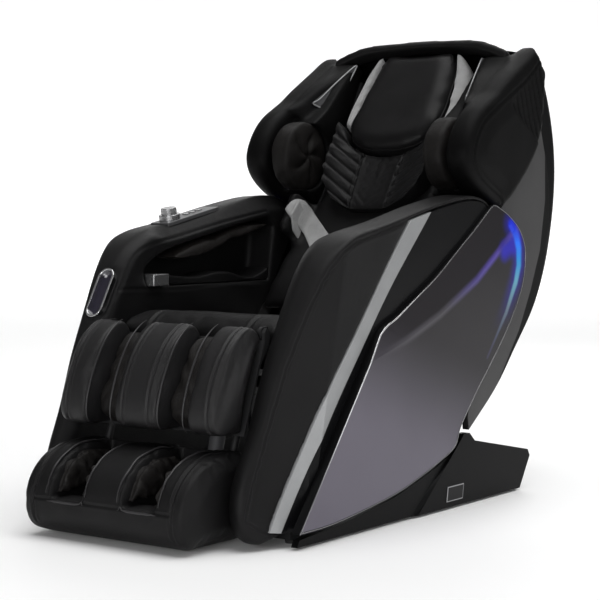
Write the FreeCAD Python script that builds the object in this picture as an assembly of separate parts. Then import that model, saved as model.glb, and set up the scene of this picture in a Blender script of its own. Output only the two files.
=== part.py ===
import FreeCAD, Part
import math
import os
from FreeCAD import Vector

# Massage chair. Millimetres, +Z up, the sitter faces -Y, +X is the sitter's left.
# While it is drawn, Z = 0 is the floor, X = 0 the plane of symmetry, and Y = 0 lies
# under the middle of the seat. ORIGIN_Y moves the finished chair so that the origin
# is the bottom centre of its box.

# Overall places
FOOT_FRONT = -700.0
BACK_REAR = 833.0
ORIGIN_Y = (FOOT_FRONT + BACK_REAR) / 2

# Widths, each half the distance across
SEAT_HALF = 243.0
ARM_INNER = 250.0
BOARD_INNER = 338.0
BOARD_OUTER = 352.0
ARM_OUTER = 366.0
SHELL_INNER = 368.0
SHELL_OUTER = 390.0
BASE_INNER = 362.0
BASE_SKIRT = 379.0
BASE_OUTER = 386.0
COVER_HALF = 338.0
SIDE_PANEL_OUTER = 357.0
WING_INNER = 285.0
WING_OUTER = 364.0

# Clearances
SEAM_GAP = 0.3
RUNNING_FIT = 0.05
SOFT_GAP = 1.0

# Hinges, as (y, z)
TILT_PIVOT = (150.0, 230.0)
RECLINE_PIVOT = (255.0, 400.0)
LEG_PIVOT = (-400.0, 470.0)
TILT_PIN_R = 10.0
RECLINE_PIN_R = 12.0
LEG_PIN_R = 8.0
LEG_LUG_R = 14.0

# Base
FLOOR_GAP = 6.0
RAIL_INNER = 296.0
RAIL_WIDTH = 34.0
RAIL_HEIGHT = 26.0
RAIL_FRONT = -430.0
RAIL_REAR = 540.0
WHEEL_R = 24.0
WHEEL_WIDTH = 22.0
WHEEL_LIFT = 2.0
WHEEL_Y = 430.0
WHEEL_AXLE_R = 5.0

# Seat frame
PLATE_INNER = 226.0
PLATE_WALL = 8.0
TUBE_R = 14.0

# Arms
POCKET_DEPTH = 84.0
PANEL_SLOPE = 11.5
PANEL_LENGTH = 210.0
PANEL_WIDTH = 60.0
PANEL_THICK = 10.0
PANEL_X = 309.0
PANEL_Y = -25.0
PANEL_Z = 731.0
PANEL_PROUD = 3.0
KNOB_RING_R = 28.0
KNOB_CAP_R = 20.0
KNOB_SPINDLE_R = 4.0
BUTTON_SIZE = 15.0
BUTTON_TRAVEL = 1.5
KNOB_Y = -62.0
BUTTON_PLACES = [5.0, 30.0, 55.0]
OVAL_PLACE = (-374.0, 545.0)
OVAL_LEAN = 29.5
OVAL_X = 290.0
OVAL_HALF_WIDTH = 20.0
OVAL_HALF_HEIGHT = 62.0
OVAL_RIM = 5.0
OVAL_PROUD = 3.0
OVAL_DEPTH = 16.0

# Back, drawn upright and then leaned back about the seat junction
BACK_LEAN = 31.0
SEAT_JUNCTION = (185.0, 451.0)
BACK_FRONT = [(-5, 28), (-10, 100), (0, 180), (30, 262), (30, 384), (60, 592), (99, 812)]
BACK_THICK = 28.0
WING_REAR = [(163, 700), (158, 611), (132, 516), (91, 408)]
COVER_WALL = 5.0
COVER_ROUND = 40.0
BACK_CHANNEL_INNER = 205.0
BACK_CHANNEL_WALL = 10.0
PAD_HALF = 172.0
PAD_HOLLOW_R = 373.0
PAD_CHANNEL_STEP = 32.0
PILLOW_LEAN = 6.1
PILLOW_FRONT = -30.0
CROWN_R = 1450.0
CROWN_TOP = 900.0
HOOD_DEEP = 28.0
SHOULDER_BAG_R = 92.0
CHANNEL_FRONT = 58.3
TRACK_INNER = 184.0
TRACK_SLOT = 20.0
TRACK_LENGTH = 770.0
TRACK_LEAN = 5.9
TRACK_FOOT = (125.0, 30.0)
CARRIAGE_START = 120.0
CARRIAGE_HEIGHT = 130.0
TRACK_WIDTH = 12.0
ROLLER_R = 30.0
ROLLER_SHAFT_R = 8.0

# Legrest and footrest
LEG_SLOPE = 20.0
CHANNEL_X = 108.0
CHANNEL_WIDTH = 78.0
CHANNEL_DEPTH = 62.0
GUIDE_R = 9.0
GUIDE_X = 190.0
FOOT_FLOOR = 10.0
WELL_WIDTH = 96.0
KICK_HEIGHT = 88.0
FOOT_ROLLER_R = 20.0
FOOT_SHAFT_R = 6.0

# The tilt drive pushes the lug under the seat's front along the chord of its swing
TILT_LUG = (-250.0, 300.0)
TILT_SWING = 10.0
TILT_DRIVE_LENGTH = 226.0
LUG_PIN_R = 8.0
TILT_EYE_PLAY = 3.0
chord = math.atan2(TILT_LUG[1] - TILT_PIVOT[1], TILT_PIVOT[0] - TILT_LUG[0]) + math.radians(TILT_SWING / 2)
TILT_ALONG = Vector(0, math.sin(chord), math.cos(chord))
TILT_FOOT = (TILT_LUG[0] - TILT_DRIVE_LENGTH * TILT_ALONG.y, TILT_LUG[1] - TILT_DRIVE_LENGTH * TILT_ALONG.z)

# Arm outlines in side view, shared by every piece of the arm

ARM_FRONT = [(-520, 14), (-556, 34), (-574, 78), (-515, 242), (-456, 382), (-400, 490),
             (-350, 578), (-296, 646), (-236, 684), (-117, 710), (50, 745), (200, 773),
             (310, 783), (372, 772), (415, 742)]
ARM_REAR = [(415, 742), (385, 690), (290, 545), (205, 440), (138, 340), (126, 160)]
ARM_REAR_FOOT = (110, 138)
ARM_FRONT_FOOT = (-470, 34)
SEAM_FRONT = [(-508, 40), (-548, 60), (-560, 90), (-502, 243), (-443, 384), (-388, 492),
              (-338, 572), (-286, 635), (-230, 671), (-114, 697), (52, 732), (202, 760),
              (306, 770), (366, 760), (398, 733)]
BOARD_LINE = [(-354, 88), (-366, 116), (-326, 290), (-296, 420), (-264, 550), (-232, 630),
              (-110, 664), (100, 706), (300, 742), (350, 724), (278, 560), (190, 440),
              (122, 340), (112, 170), (-335, 86)]
STRIPE_FRONT = [(50, 760), (-35, 677), (-139, 561), (-238, 446), (-338, 332), (-411, 215), (-484, 88), (-524, 0)]
STRIPE_REAR = [(142, 782), (54, 694), (-83, 559), (-201, 425), (-306, 302), (-402, 169), (-481, 33), (-500, 0)]
STRIPE_GAP = 0.4
# three points of the facet by which the arm narrows towards its front
TAPER = [(312, -530, 160), (340, -367, 525), (366, -338, 332)]
ARM_SOFT_INNER = 12.0
ARM_SOFT_OUTER = 10.0
STRIPE_PROUD = 2.0
LAYER_SPAN = (240.0, 400.0)
CREASE = [(-191, 397), (-40, 438), (110, 490), (290, 570), (492, 696)]
CREASE_FALL = 0.12

nodes = {}


def box(x0, x1, y0, y1, z0, z1):
    return Part.makeBox(x1 - x0, y1 - y0, z1 - z0, Vector(x0, y0, z0))


def rod(x0, x1, place, radius):
    """A round bar along X through the point (y, z)."""
    return Part.makeCylinder(radius, x1 - x0, Vector(x0, place[0], place[1]), Vector(1, 0, 0))


def outline(x, *runs):
    """A closed face at X = x. Two points make a straight run, more make one smooth curve."""
    edges = []
    for run in runs:
        points = [Vector(x, y, z) for y, z in run]
        if len(points) == 2:
            edges.append(Part.makeLine(points[0], points[1]))
        else:
            smooth = Part.BSplineCurve()
            smooth.interpolate(points)
            edges.append(smooth.toShape())
    first = Vector(x, *runs[0][0])
    last = Vector(x, *runs[-1][-1])
    if first.distanceToPoint(last) > 0.001:
        edges.append(Part.makeLine(last, first))
    return Part.Face(Part.Wire(edges))


def slab(x0, x1, *runs):
    """The outline as a plate from X = x0 to X = x1."""
    return outline(x0, *runs).extrude(Vector(x1 - x0, 0, 0))


def corners(points):
    """Straight runs through all the points, closed."""
    return [[a, b] for a, b in zip(points, points[1:] + points[:1])]


def plate(x0, x1, points):
    return slab(x0, x1, *corners(points))


def mirrored(shape):
    return shape.mirror(Vector(0, 0, 0), Vector(1, 0, 0))


def pair(shape):
    return [shape, mirrored(shape)]


def rounded(shape, radius, chosen):
    """Rounds the edges whose middle point passes the test."""
    edges = [edge for edge in shape.Edges if chosen(edge.CenterOfMass, edge)]
    return shape.makeFillet(radius, edges)


def rounded_sides(shape, radius, longest=40.0):
    """Rounds the long outline edges on both X faces of a slab."""
    low = shape.BoundBox.XMin
    high = shape.BoundBox.XMax

    def on_side(middle, edge):
        box_of = edge.BoundBox
        flat = box_of.XLength < 0.01
        return flat and edge.Length > longest and min(middle.x - low, high - middle.x) < 0.01

    return rounded(shape, radius, on_side)


def leaned(shape):
    """Takes a shape drawn upright in the back's own frame to its place on the chair."""
    shape = shape.copy()
    shape.rotate(Vector(0, 0, 0), Vector(1, 0, 0), -BACK_LEAN)
    shape.translate(Vector(0, *SEAT_JUNCTION))
    return shape


def upright(place):
    """A chair point (y, z) in the back's own upright frame."""
    lean = math.radians(BACK_LEAN)
    y = place[0] - SEAT_JUNCTION[0]
    z = place[1] - SEAT_JUNCTION[1]
    return (y * math.cos(lean) - z * math.sin(lean), y * math.sin(lean) + z * math.cos(lean))


def add(name, shapes):
    """Files a node, one solid or a group of separate ones."""
    if not isinstance(shapes, list):
        shapes = [shapes]
    solids = [solid for shape in shapes for solid in shape.Solids]
    nodes[name] = solids[0] if len(solids) == 1 else Part.makeCompound(solids)


def arm_body(x0, x1):
    return slab(x0, x1, ARM_FRONT, *[[a, b] for a, b in zip(ARM_REAR, ARM_REAR[1:])],
                [ARM_REAR[-1], ARM_REAR_FOOT], [ARM_REAR_FOOT, ARM_FRONT_FOOT],
                [ARM_FRONT_FOOT, ARM_FRONT[0]])


def arm_side_field(x0, x1):
    """What lies inside the leather's wrap on the outer side."""
    rear = [(398, 733), (420, 745), (385, 690), (290, 545), (205, 440), (138, 340),
            (126, 160), (110, 138), (-466, 34), (-508, 40)]
    return slab(x0, x1, SEAM_FRONT, *[[a, b] for a, b in zip(rear, rear[1:])])


def behind_line(x0, x1, line, shift):
    """All of the side behind a sloping line."""
    moved = [(y + shift, z) for y, z in line]
    return slab(x0, x1, moved, [moved[-1], (700, -100)], [(700, -100), (700, 900)], [(700, 900), moved[0]])


def beyond_taper(depth):
    """Everything outside the arm's narrowing facet, or outside a facet that lies deeper by the depth."""
    low, high, wide = [Vector(*point) for point in TAPER]
    normal = (high - low).cross(wide - low).normalize()
    if normal.x < 0:
        normal = normal * -1
    turn = FreeCAD.Rotation(Vector(0, 0, 1), normal)
    space = box(-1500, 1500, -1500, 1500, 0, 300)
    space.Placement = FreeCAD.Placement(low - Vector(depth, 0, 0), turn).multiply(space.Placement)
    return space


def side_layer(outer):
    """The layer that the stripe and the infill fill: as deep as the boards, or as the facet."""
    flat = arm_side_field(BOARD_OUTER, outer)
    sloped = arm_side_field(ARM_INNER + 20, BOARD_OUTER + 1).common(beyond_taper(ARM_OUTER - BOARD_OUTER))
    return flat.fuse(sloped).removeSplitter()


def forearm_pocket():
    roof = [(-246, 606), (-190, 636), (-111, 659), (-30, 675), (60, 692), (150, 709), (262, 722)]
    return slab(ARM_INNER - 5, ARM_INNER + POCKET_DEPTH,
                [(-240, 556), (-252, 580), (-246, 606)], roof,
                [(262, 722), (286, 700)], [(286, 700), (262, 556)], [(262, 556), (-240, 556)])


def panel_frame(shape):
    """From the control panel's own frame to the top of the right-hand armrest."""
    shape = shape.copy()
    shape.rotate(Vector(0, 0, 0), Vector(1, 0, 0), PANEL_SLOPE)
    shape.translate(Vector(-PANEL_X, PANEL_Y, PANEL_Z))
    return shape


def oval(half_width, half_height, depth, proud):
    """A stadium-shaped plug standing in the arm's sloping front."""
    straight = half_height - half_width
    middle = box(-half_width, half_width, -proud, depth, -straight, straight)
    ends = [Part.makeCylinder(half_width, proud + depth, Vector(0, -proud, z), Vector(0, 1, 0))
            for z in (-straight, straight)]
    plug = middle.fuse(ends).removeSplitter()
    plug.rotate(Vector(0, 0, 0), Vector(1, 0, 0), -OVAL_LEAN)
    plug.translate(Vector(-OVAL_X, *OVAL_PLACE))
    return plug


def make_base():
    rear_floor = (528, FLOOR_GAP)
    rear_side = [(582, 87), (571, 105), (290, 160), (264, 182), (236, 182)]
    skirt = [(-470, FLOOR_GAP), rear_floor] + rear_side + [
        (185, 138), (113, 111), (20, 86), (-69, 65), (-156, 51), (-239, 40), (-360, 29), (-462, 22)]
    outer = plate(BASE_INNER, BASE_SKIRT, skirt)
    step_root = outline(BASE_SKIRT, *corners([(-6, FLOOR_GAP), rear_floor] + rear_side + [(192, 141)]))
    step_face = outline(BASE_OUTER, *corners([(20, FLOOR_GAP), rear_floor] + rear_side + [(218, 166)]))
    step = Part.makeLoft([step_root.OuterWire, step_face.OuterWire], True, True)
    cover = outer.fuse(step).removeSplitter()
    add("base_cover_left", cover)
    add("base_cover_right", mirrored(cover))

    badge = plate(BASE_OUTER, BASE_OUTER + 2.0, [(150, 20), (228, 20), (234, 58), (156, 58)])
    add("badge_plates", pair(badge))

    foot_height = FLOOR_GAP + 6.0
    rail_x1 = RAIL_INNER + RAIL_WIDTH
    rail = box(RAIL_INNER, rail_x1, RAIL_FRONT, RAIL_REAR, foot_height, foot_height + RAIL_HEIGHT)
    cross_front = box(-RAIL_INNER, RAIL_INNER, RAIL_FRONT, RAIL_FRONT + 34, foot_height, foot_height + RAIL_HEIGHT)
    cross_middle = box(-RAIL_INNER, RAIL_INNER, 120, 180, foot_height, foot_height + RAIL_HEIGHT)
    cross_rear = box(-RAIL_INNER, RAIL_INNER, 330, 364, foot_height, foot_height + 22)
    bracket_x = PLATE_INNER - 2 * PLATE_WALL
    bracket = plate(bracket_x, bracket_x + PLATE_WALL, [
        (122, foot_height + RAIL_HEIGHT), (178, foot_height + RAIL_HEIGHT),
        (TILT_PIVOT[0] + 20, TILT_PIVOT[1] + 14), (TILT_PIVOT[0], TILT_PIVOT[1] + 22),
        (TILT_PIVOT[0] - 20, TILT_PIVOT[1] + 14)])
    pin = rod(bracket_x, PLATE_INNER + PLATE_WALL, TILT_PIVOT, TILT_PIN_R)
    arms = []
    for y in (-330.0, 470.0):
        arms.append(box(rail_x1, BASE_INNER, y, y + 30, foot_height, foot_height + 18))
    axle_tab = box(RAIL_INNER - 8, RAIL_INNER, WHEEL_Y - 16, WHEEL_Y + 16, foot_height, foot_height + RAIL_HEIGHT)
    half = rail.fuse([bracket, pin, axle_tab] + arms)
    axle_place = (WHEEL_Y, WHEEL_R + WHEEL_LIFT)
    half = half.cut(rod(RAIL_INNER - 20, RAIL_INNER + 20, axle_place, WHEEL_AXLE_R + RUNNING_FIT))
    pedestal = box(-30, 30, TILT_FOOT[0] - 14, TILT_FOOT[0] + 14, foot_height, TILT_FOOT[1] - 12)
    shelf = box(-44, 44, RAIL_FRONT + 10, TILT_FOOT[0] + 14, foot_height, foot_height + 12)
    tray_legs = [box(x, x + 20, RAIL_FRONT + 34, 120, foot_height, foot_height + 12) for x in (-210, 190)]
    tray = box(-210, 210, -190, -30, foot_height + 12, foot_height + RAIL_HEIGHT)
    frame = half.fuse([mirrored(half), cross_front, cross_middle, cross_rear, pedestal, shelf, tray] + tray_legs)
    add("base_frame", frame.removeSplitter())

    feet = []
    for y in (-400.0, 500.0):
        foot = Part.makeCone(15, 17, foot_height, Vector(RAIL_INNER + RAIL_WIDTH / 2, y, 0))
        feet += pair(foot)
    add("base_feet", feet)

    wheel_x = RAIL_INNER - 8 - SEAM_GAP - WHEEL_WIDTH
    wheel = rod(wheel_x, wheel_x + WHEEL_WIDTH, axle_place, WHEEL_R)
    wheel = wheel.makeFillet(4, [edge for edge in wheel.Edges if edge.Closed])
    axle = rod(-RAIL_INNER - 19, RAIL_INNER + 19, axle_place, WHEEL_AXLE_R)
    add("transport_wheels", wheel.fuse([mirrored(wheel), axle]))

    deck = foot_height + RAIL_HEIGHT
    pump = box(-170, -30, -180, -60, deck, deck + 92)
    pump = rounded(pump, 12, lambda middle, edge: edge.Length > 85 and middle.z > deck + 20)
    pump_ports = [rod(-30, -14, (y, deck + 60), 6) for y in (-150, -90)]
    add("air_pump", pump.fuse(pump_ports))
    control = box(20, 180, -170, -50, deck, deck + 62)
    control = rounded(control, 5, lambda middle, edge: middle.z > deck + 61)
    add("control_box", control)

    panel_y = 536.0
    panel = box(-BASE_INNER, BASE_INNER, panel_y + 8, panel_y + 12, FLOOR_GAP + 2, 46)
    inlet_hole = box(-290, -242, panel_y, panel_y + 20, 12, 38)
    switch_hole = box(-234, -214, panel_y, panel_y + 20, 14, 36)
    panel = panel.cut(inlet_hole.fuse(switch_hole))
    panel = panel.fuse(box(RAIL_INNER, rail_x1, RAIL_REAR, panel_y + 8, foot_height, foot_height + 18))
    panel = panel.fuse(box(-rail_x1, -RAIL_INNER, RAIL_REAR, panel_y + 8, foot_height, foot_height + 18))
    add("base_rear_panel", panel.removeSplitter())

    inlet = box(-290, -242, panel_y - 10, panel_y + 14, 12, 38)
    inlet = inlet.cut(box(-286, -246, panel_y - 6, panel_y + 20, 16, 34))
    pins = [box(x - 1, x + 1, panel_y - 8, panel_y + 8, 22, 28) for x in (-274, -266, -258)]
    add("power_inlet", inlet.fuse(pins))

    rocker_y = panel_y + 10
    rocker = box(-232.5, -215.5, rocker_y - 6, rocker_y + 4, 17, 33)
    rocker = rounded(rocker, 2, lambda middle, edge: middle.y > rocker_y + 3)
    stub = rod(-233.9, -214.1, (rocker_y, 25), 1.5)
    add("power_switch", rocker.fuse(stub))


def make_tilt_drive():
    """Linear drive between the base's front bracket and the seat frame's front tube."""
    top = TILT_LUG
    along = TILT_ALONG
    foot = Vector(0, *TILT_FOOT)
    tube = Part.makeCylinder(19, 122, foot + along * 14, along)
    bore = Part.makeCylinder(GUIDE_R + RUNNING_FIT, 110, foot + along * 27, along)
    motor = Part.makeCylinder(24, 78, foot + Vector(46, 0, 0) + along * 12, along)
    gearbox = box(-22, 70, foot.y - 24, foot.y + 26, foot.z - 4, foot.z + 16)
    clevis = box(-22, 22, foot.y - 12, foot.y + 14, foot.z - 12, foot.z - 4)
    body = tube.fuse([motor, gearbox, clevis]).cut(bore)
    add("tilt_actuator", body.removeSplitter())
    stem = Part.makeCylinder(GUIDE_R, TILT_DRIVE_LENGTH - 30 - 14, foot + along * 30, along)
    eye = rod(-8, 8, top, 17).cut(rod(-9, 9, top, LUG_PIN_R + TILT_EYE_PLAY))
    add("tilt_rod", stem.fuse(eye).removeSplitter())


def make_seat():
    outer = PLATE_INNER + PLATE_WALL
    side = plate(PLATE_INNER, outer, [
        (-402, 456), (-402, 484), (-384, 484), (-372, 404), (160, 372), (225, 428), (285, 424),
        (285, 376), (190, 300), (182, 214), (118, 214), (96, 306), (-300, 322), (-388, 396)])
    side = side.fuse(rod(PLATE_INNER, outer, LEG_PIVOT, LEG_LUG_R)).removeSplitter()
    cuts = [rod(PLATE_INNER - 5, outer + 5, TILT_PIVOT, TILT_PIN_R + RUNNING_FIT),
            rod(PLATE_INNER - 5, outer + 5, RECLINE_PIVOT, RECLINE_PIN_R + RUNNING_FIT),
            rod(PLATE_INNER - 5, outer + 5, LEG_PIVOT, LEG_PIN_R + RUNNING_FIT)]
    for cut in cuts:
        side = side.cut(cut)
    outriggers = [rod(outer - 1, BOARD_INNER, place, TUBE_R - 2) for place in ((-300, 345), (60, 345))]
    halves = pair(side.fuse(outriggers))
    tubes = [rod(-PLATE_INNER - 1, PLATE_INNER + 1, place, TUBE_R) for place in ((-290, 345), (60, 345))]
    pan = plate(-PLATE_INNER - 2, PLATE_INNER + 2, [(-364, 404), (-364, 410), (150, 376), (150, 370)])
    # ears for the two drives
    ears = [box(x, x + 6, -304, -236, 286, 345) for x in (-18, 12)]
    drive_pin = rod(-18, 18, TILT_LUG, LUG_PIN_R)
    rear_ears = [box(x, x + 6, 40, 84, 282, 345) for x in (-30, 24)]
    frame = halves[0].fuse([halves[1], pan, drive_pin] + tubes + ears + rear_ears)
    add("seat_frame", frame.removeSplitter())

    cushion = slab(-SEAT_HALF, SEAT_HALF,
                   [(-366, 410.4), (-371, 444), (-364, 474), (-338, 489), (-246, 493), (-120, 484), (0, 470),
                    (186, 450)],
                   [(186, 450), (154, 376)], [(154, 376), (-366, 410.4)])
    add("seat_cushion", rounded(cushion, 12, lambda middle, edge: edge.Length > 560
                                and edge.BoundBox.XLength < 0.01 and edge.BoundBox.ZMax > 480))


def make_arms():
    body = arm_body(ARM_INNER, ARM_OUTER).cut(beyond_taper(0))
    body = body.cut(side_layer(ARM_OUTER + 2).common(behind_line(*LAYER_SPAN, STRIPE_FRONT, -STRIPE_GAP)))
    board = slab(BOARD_INNER, BOARD_OUTER, BOARD_LINE[:9],
                 *[[a, b] for a, b in zip(BOARD_LINE[8:], BOARD_LINE[9:])])
    body = body.cut(board)
    for place in ((-300, 345), (60, 345)):
        body = body.cut(rod(ARM_INNER - 1, BOARD_INNER + 1, place, TUBE_R - 2))
    body = body.cut(forearm_pocket())

    body = rounded(body, ARM_SOFT_INNER, lambda middle, edge: abs(middle.x - ARM_INNER) < 0.01
                   and edge.BoundBox.XLength < 0.01 and edge.Length > 700 and edge.BoundBox.ZMin < 20)
    body = rounded(body, ARM_SOFT_OUTER, lambda middle, edge: edge.BoundBox.XMin > 300
                   and edge.BoundBox.XLength > 20 and edge.Length > 500 and edge.BoundBox.YMin < -540)
    left = mirrored(body)
    panel_cut = panel_frame(box(-PANEL_WIDTH / 2, PANEL_WIDTH / 2, -PANEL_LENGTH / 2, PANEL_LENGTH / 2,
                                PANEL_PROUD - PANEL_THICK, 60))
    knob_well = panel_frame(Part.makeCylinder(KNOB_SPINDLE_R + 2, 20, Vector(0, KNOB_Y, -22)))
    left = left.cut(panel_cut).cut(knob_well)
    left = left.cut(oval(OVAL_HALF_WIDTH + OVAL_RIM, OVAL_HALF_HEIGHT + OVAL_RIM, OVAL_DEPTH, 30))
    # the sitter's right arm is on the -X side and carries the controls
    add("arm_cover_left", body)
    add("arm_cover_right", left)
    add("arm_boards", pair(board))

    stripe = side_layer(ARM_OUTER + STRIPE_PROUD).cut(beyond_taper(-STRIPE_PROUD))
    stripe = stripe.common(behind_line(*LAYER_SPAN, STRIPE_FRONT, 0))
    stripe = stripe.cut(behind_line(*LAYER_SPAN, STRIPE_REAR, 0))
    add("silver_stripes", pair(stripe))
    infill = side_layer(SHELL_INNER - SEAM_GAP).cut(beyond_taper(SEAM_GAP - STRIPE_PROUD))
    infill = infill.common(behind_line(*LAYER_SPAN, STRIPE_REAR, STRIPE_GAP))
    add("infill_panels", pair(infill))


def make_side_shells():
    front_low = [(-476, 38), (-158, 446)]
    corner = [(-158, 446), (-140, 464), (-112, 480), (-72, 495)]
    front_high = [(-72, 495), (109, 584), (302, 701), (378, 752)]
    tip = [(378, 752), (400, 760), (424, 752)]
    rear = [(424, 752), (468, 730), (518, 688), (544, 638), (534, 560), (486, 480), (409, 394), (307, 299),
            (236, 228), (209, 196), (185, 155)]
    bottom = [(185, 155), (113, 126.5), (20, 99), (-69, 77), (-156, 63), (-239, 52), (-360, 40), (-476, 38)]
    shell = slab(SHELL_INNER, SHELL_OUTER, front_low, corner, front_high, tip, rear, bottom)
    # the upper part falls away from the crease towards the front edge, in four flats
    cutter = None
    for low, high in zip(CREASE, CREASE[1:]):
        start = Vector(SHELL_OUTER, *low)
        along = Vector(0, high[0] - low[0], high[1] - low[1]).normalize()
        falling = Vector(-CREASE_FALL, -along.z, along.y)
        normal = along.cross(falling).normalize()
        if normal.x < 0:
            normal = normal * -1
        space = box(-800, 800, -800, 800, 0, 80)
        space.Placement = FreeCAD.Placement(start, FreeCAD.Rotation(Vector(0, 0, 1), normal)).multiply(
            space.Placement)
        cutter = space if cutter is None else cutter.common(space)
    shell = shell.cut(cutter)
    strip_centre = [(455, 706), (482, 660), (490, 612), (470, 549), (438, 498), (398, 437), (350, 378)]
    strip_outer = [(472, 709), (497, 660), (506, 608), (485, 544), (450, 490), (409, 430), (352, 370)]
    strip = slab(SHELL_OUTER - 5, SHELL_OUTER - 0.5, strip_outer, [strip_outer[-1], strip_centre[-1]],
                 strip_centre[::-1], [strip_centre[0], strip_outer[0]])
    strip = strip.common(shell)
    shell = shell.cut(strip)
    add("side_shell_left", shell)
    add("side_shell_right", mirrored(shell))
    add("led_strips", pair(strip))


def leaf(length, height, x0, x1, place, slope):
    """A leaf-shaped pad: two arcs that meet in points."""
    radius = (length * length / 4 + height * height / 4) / height
    rise = radius - height / 2
    lens = rod(x0, x1, (0, -rise), radius).common(rod(x0, x1, (0, rise), radius))
    lens.rotate(Vector(0, 0, 0), Vector(1, 0, 0), slope)
    lens.translate(Vector(0, *place))
    return lens


def make_arm_fittings():
    inner = ARM_INNER + 6
    back_wall = ARM_INNER + POCKET_DEPTH
    pads = [leaf(250, 36, inner, back_wall, (-16, 646), 10.5), leaf(230, 24, inner, back_wall, (172, 690), 9)]
    trimmed = []
    for pad in pads:
        trimmed += pair(pad.common(forearm_pocket()))
    add("arm_airbags", trimmed)

    tray_top = [(-176, 584), (-110, 577), (-36, 574), (60, 584), (110, 578), (160, 566), (215, 570), (262, 592)]
    tray = slab(inner - 4, back_wall, tray_top, [(262, 592), (262, 556)], [(262, 556), (-176, 556)],
                [(-176, 556), (-176, 584)])
    add("arm_trays", pair(tray))
    cap = box(inner - 22, back_wall - 30, -237, -178, 556, 586)
    cap = rounded(cap, 3, lambda middle, edge: middle.x < inner - 10)
    add("hand_rest_caps", pair(cap))

    ring = oval(OVAL_HALF_WIDTH + OVAL_RIM, OVAL_HALF_HEIGHT + OVAL_RIM, OVAL_DEPTH, OVAL_PROUD)
    ring = ring.cut(oval(OVAL_HALF_WIDTH, OVAL_HALF_HEIGHT, OVAL_DEPTH + 1, OVAL_PROUD + 5))
    add("pocket_bezel", ring)
    insert = oval(OVAL_HALF_WIDTH, OVAL_HALF_HEIGHT, OVAL_DEPTH, -9)
    add("pocket_insert", insert)

    half = PANEL_LENGTH / 2
    panel = box(-PANEL_WIDTH / 2, PANEL_WIDTH / 2, -half, half, PANEL_PROUD - PANEL_THICK, PANEL_PROUD)
    panel = rounded(panel, 2, lambda middle, edge: middle.z > PANEL_PROUD - 0.1)
    bore = Part.makeCylinder(KNOB_SPINDLE_R + RUNNING_FIT, 40, Vector(0, KNOB_Y, -20))
    panel = panel.cut(bore)
    button_depth = 5.0
    pocket = BUTTON_SIZE / 2 + SEAM_GAP
    buttons = []
    for place in BUTTON_PLACES:
        panel = panel.cut(box(-pocket, pocket, place - pocket, place + pocket,
                              PANEL_PROUD - button_depth, PANEL_PROUD + 5))
        cap = box(-BUTTON_SIZE / 2, BUTTON_SIZE / 2, place - BUTTON_SIZE / 2, place + BUTTON_SIZE / 2,
                  PANEL_PROUD - button_depth + BUTTON_TRAVEL + SEAM_GAP, PANEL_PROUD + 2)
        cap = rounded(cap, 1, lambda middle, edge: middle.z > PANEL_PROUD + 1.9)
        buttons.append(panel_frame(cap))
    add("control_panel", panel_frame(panel))
    for count, button in enumerate(buttons, 1):
        add("button_%d" % count, button)

    ring_z = PANEL_PROUD + SEAM_GAP
    ring = Part.makeCylinder(KNOB_RING_R, 14, Vector(0, KNOB_Y, ring_z))
    ring = ring.makeFillet(2, [edge for edge in ring.Edges if edge.CenterOfMass.z > ring_z + 13])
    cap = Part.makeCylinder(KNOB_CAP_R, 17, Vector(0, KNOB_Y, ring_z + 14))
    cap = cap.makeFillet(2, [edge for edge in cap.Edges if edge.CenterOfMass.z > ring_z + 30])
    spindle = Part.makeCylinder(KNOB_SPINDLE_R, 20, Vector(0, KNOB_Y, ring_z - 20))
    add("knob", panel_frame(ring.fuse([cap, spindle])))


def recline_lever():
    """Pin place on the back's lever at rest, straight under the hinge at mid travel."""
    reach = 110.0
    swing = math.radians(20)
    return (RECLINE_PIVOT[0] + reach * math.sin(swing), RECLINE_PIVOT[1] - reach * math.cos(swing))


def make_recline_drive():
    pin_y, pin_z = recline_lever()
    axis_z = pin_z - 3.3
    start_y = 50.0
    along = Vector(0, 1, 0)
    tube = Part.makeCylinder(19, 118, Vector(0, start_y, axis_z), along)
    motor = Part.makeCylinder(23, 70, Vector(0, start_y - 2, axis_z - 42), along)
    gearbox = box(-24, 24, start_y - 26, start_y + 8, axis_z - 66, axis_z + 19)
    bore = Part.makeCylinder(GUIDE_R + RUNNING_FIT, 112, Vector(0, start_y + 10, axis_z), along)
    body = tube.fuse([motor, gearbox]).cut(bore)
    add("recline_actuator", body.removeSplitter())
    eye = rod(-8, 8, (pin_y, axis_z), 20).cut(rod(-9, 9, (pin_y, axis_z), 8 + 4.5))
    stem = Part.makeCylinder(GUIDE_R, pin_y - 15 - (start_y + 90), Vector(0, start_y + 90, axis_z), along)
    add("recline_rod", stem.fuse(eye).removeSplitter())


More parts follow.
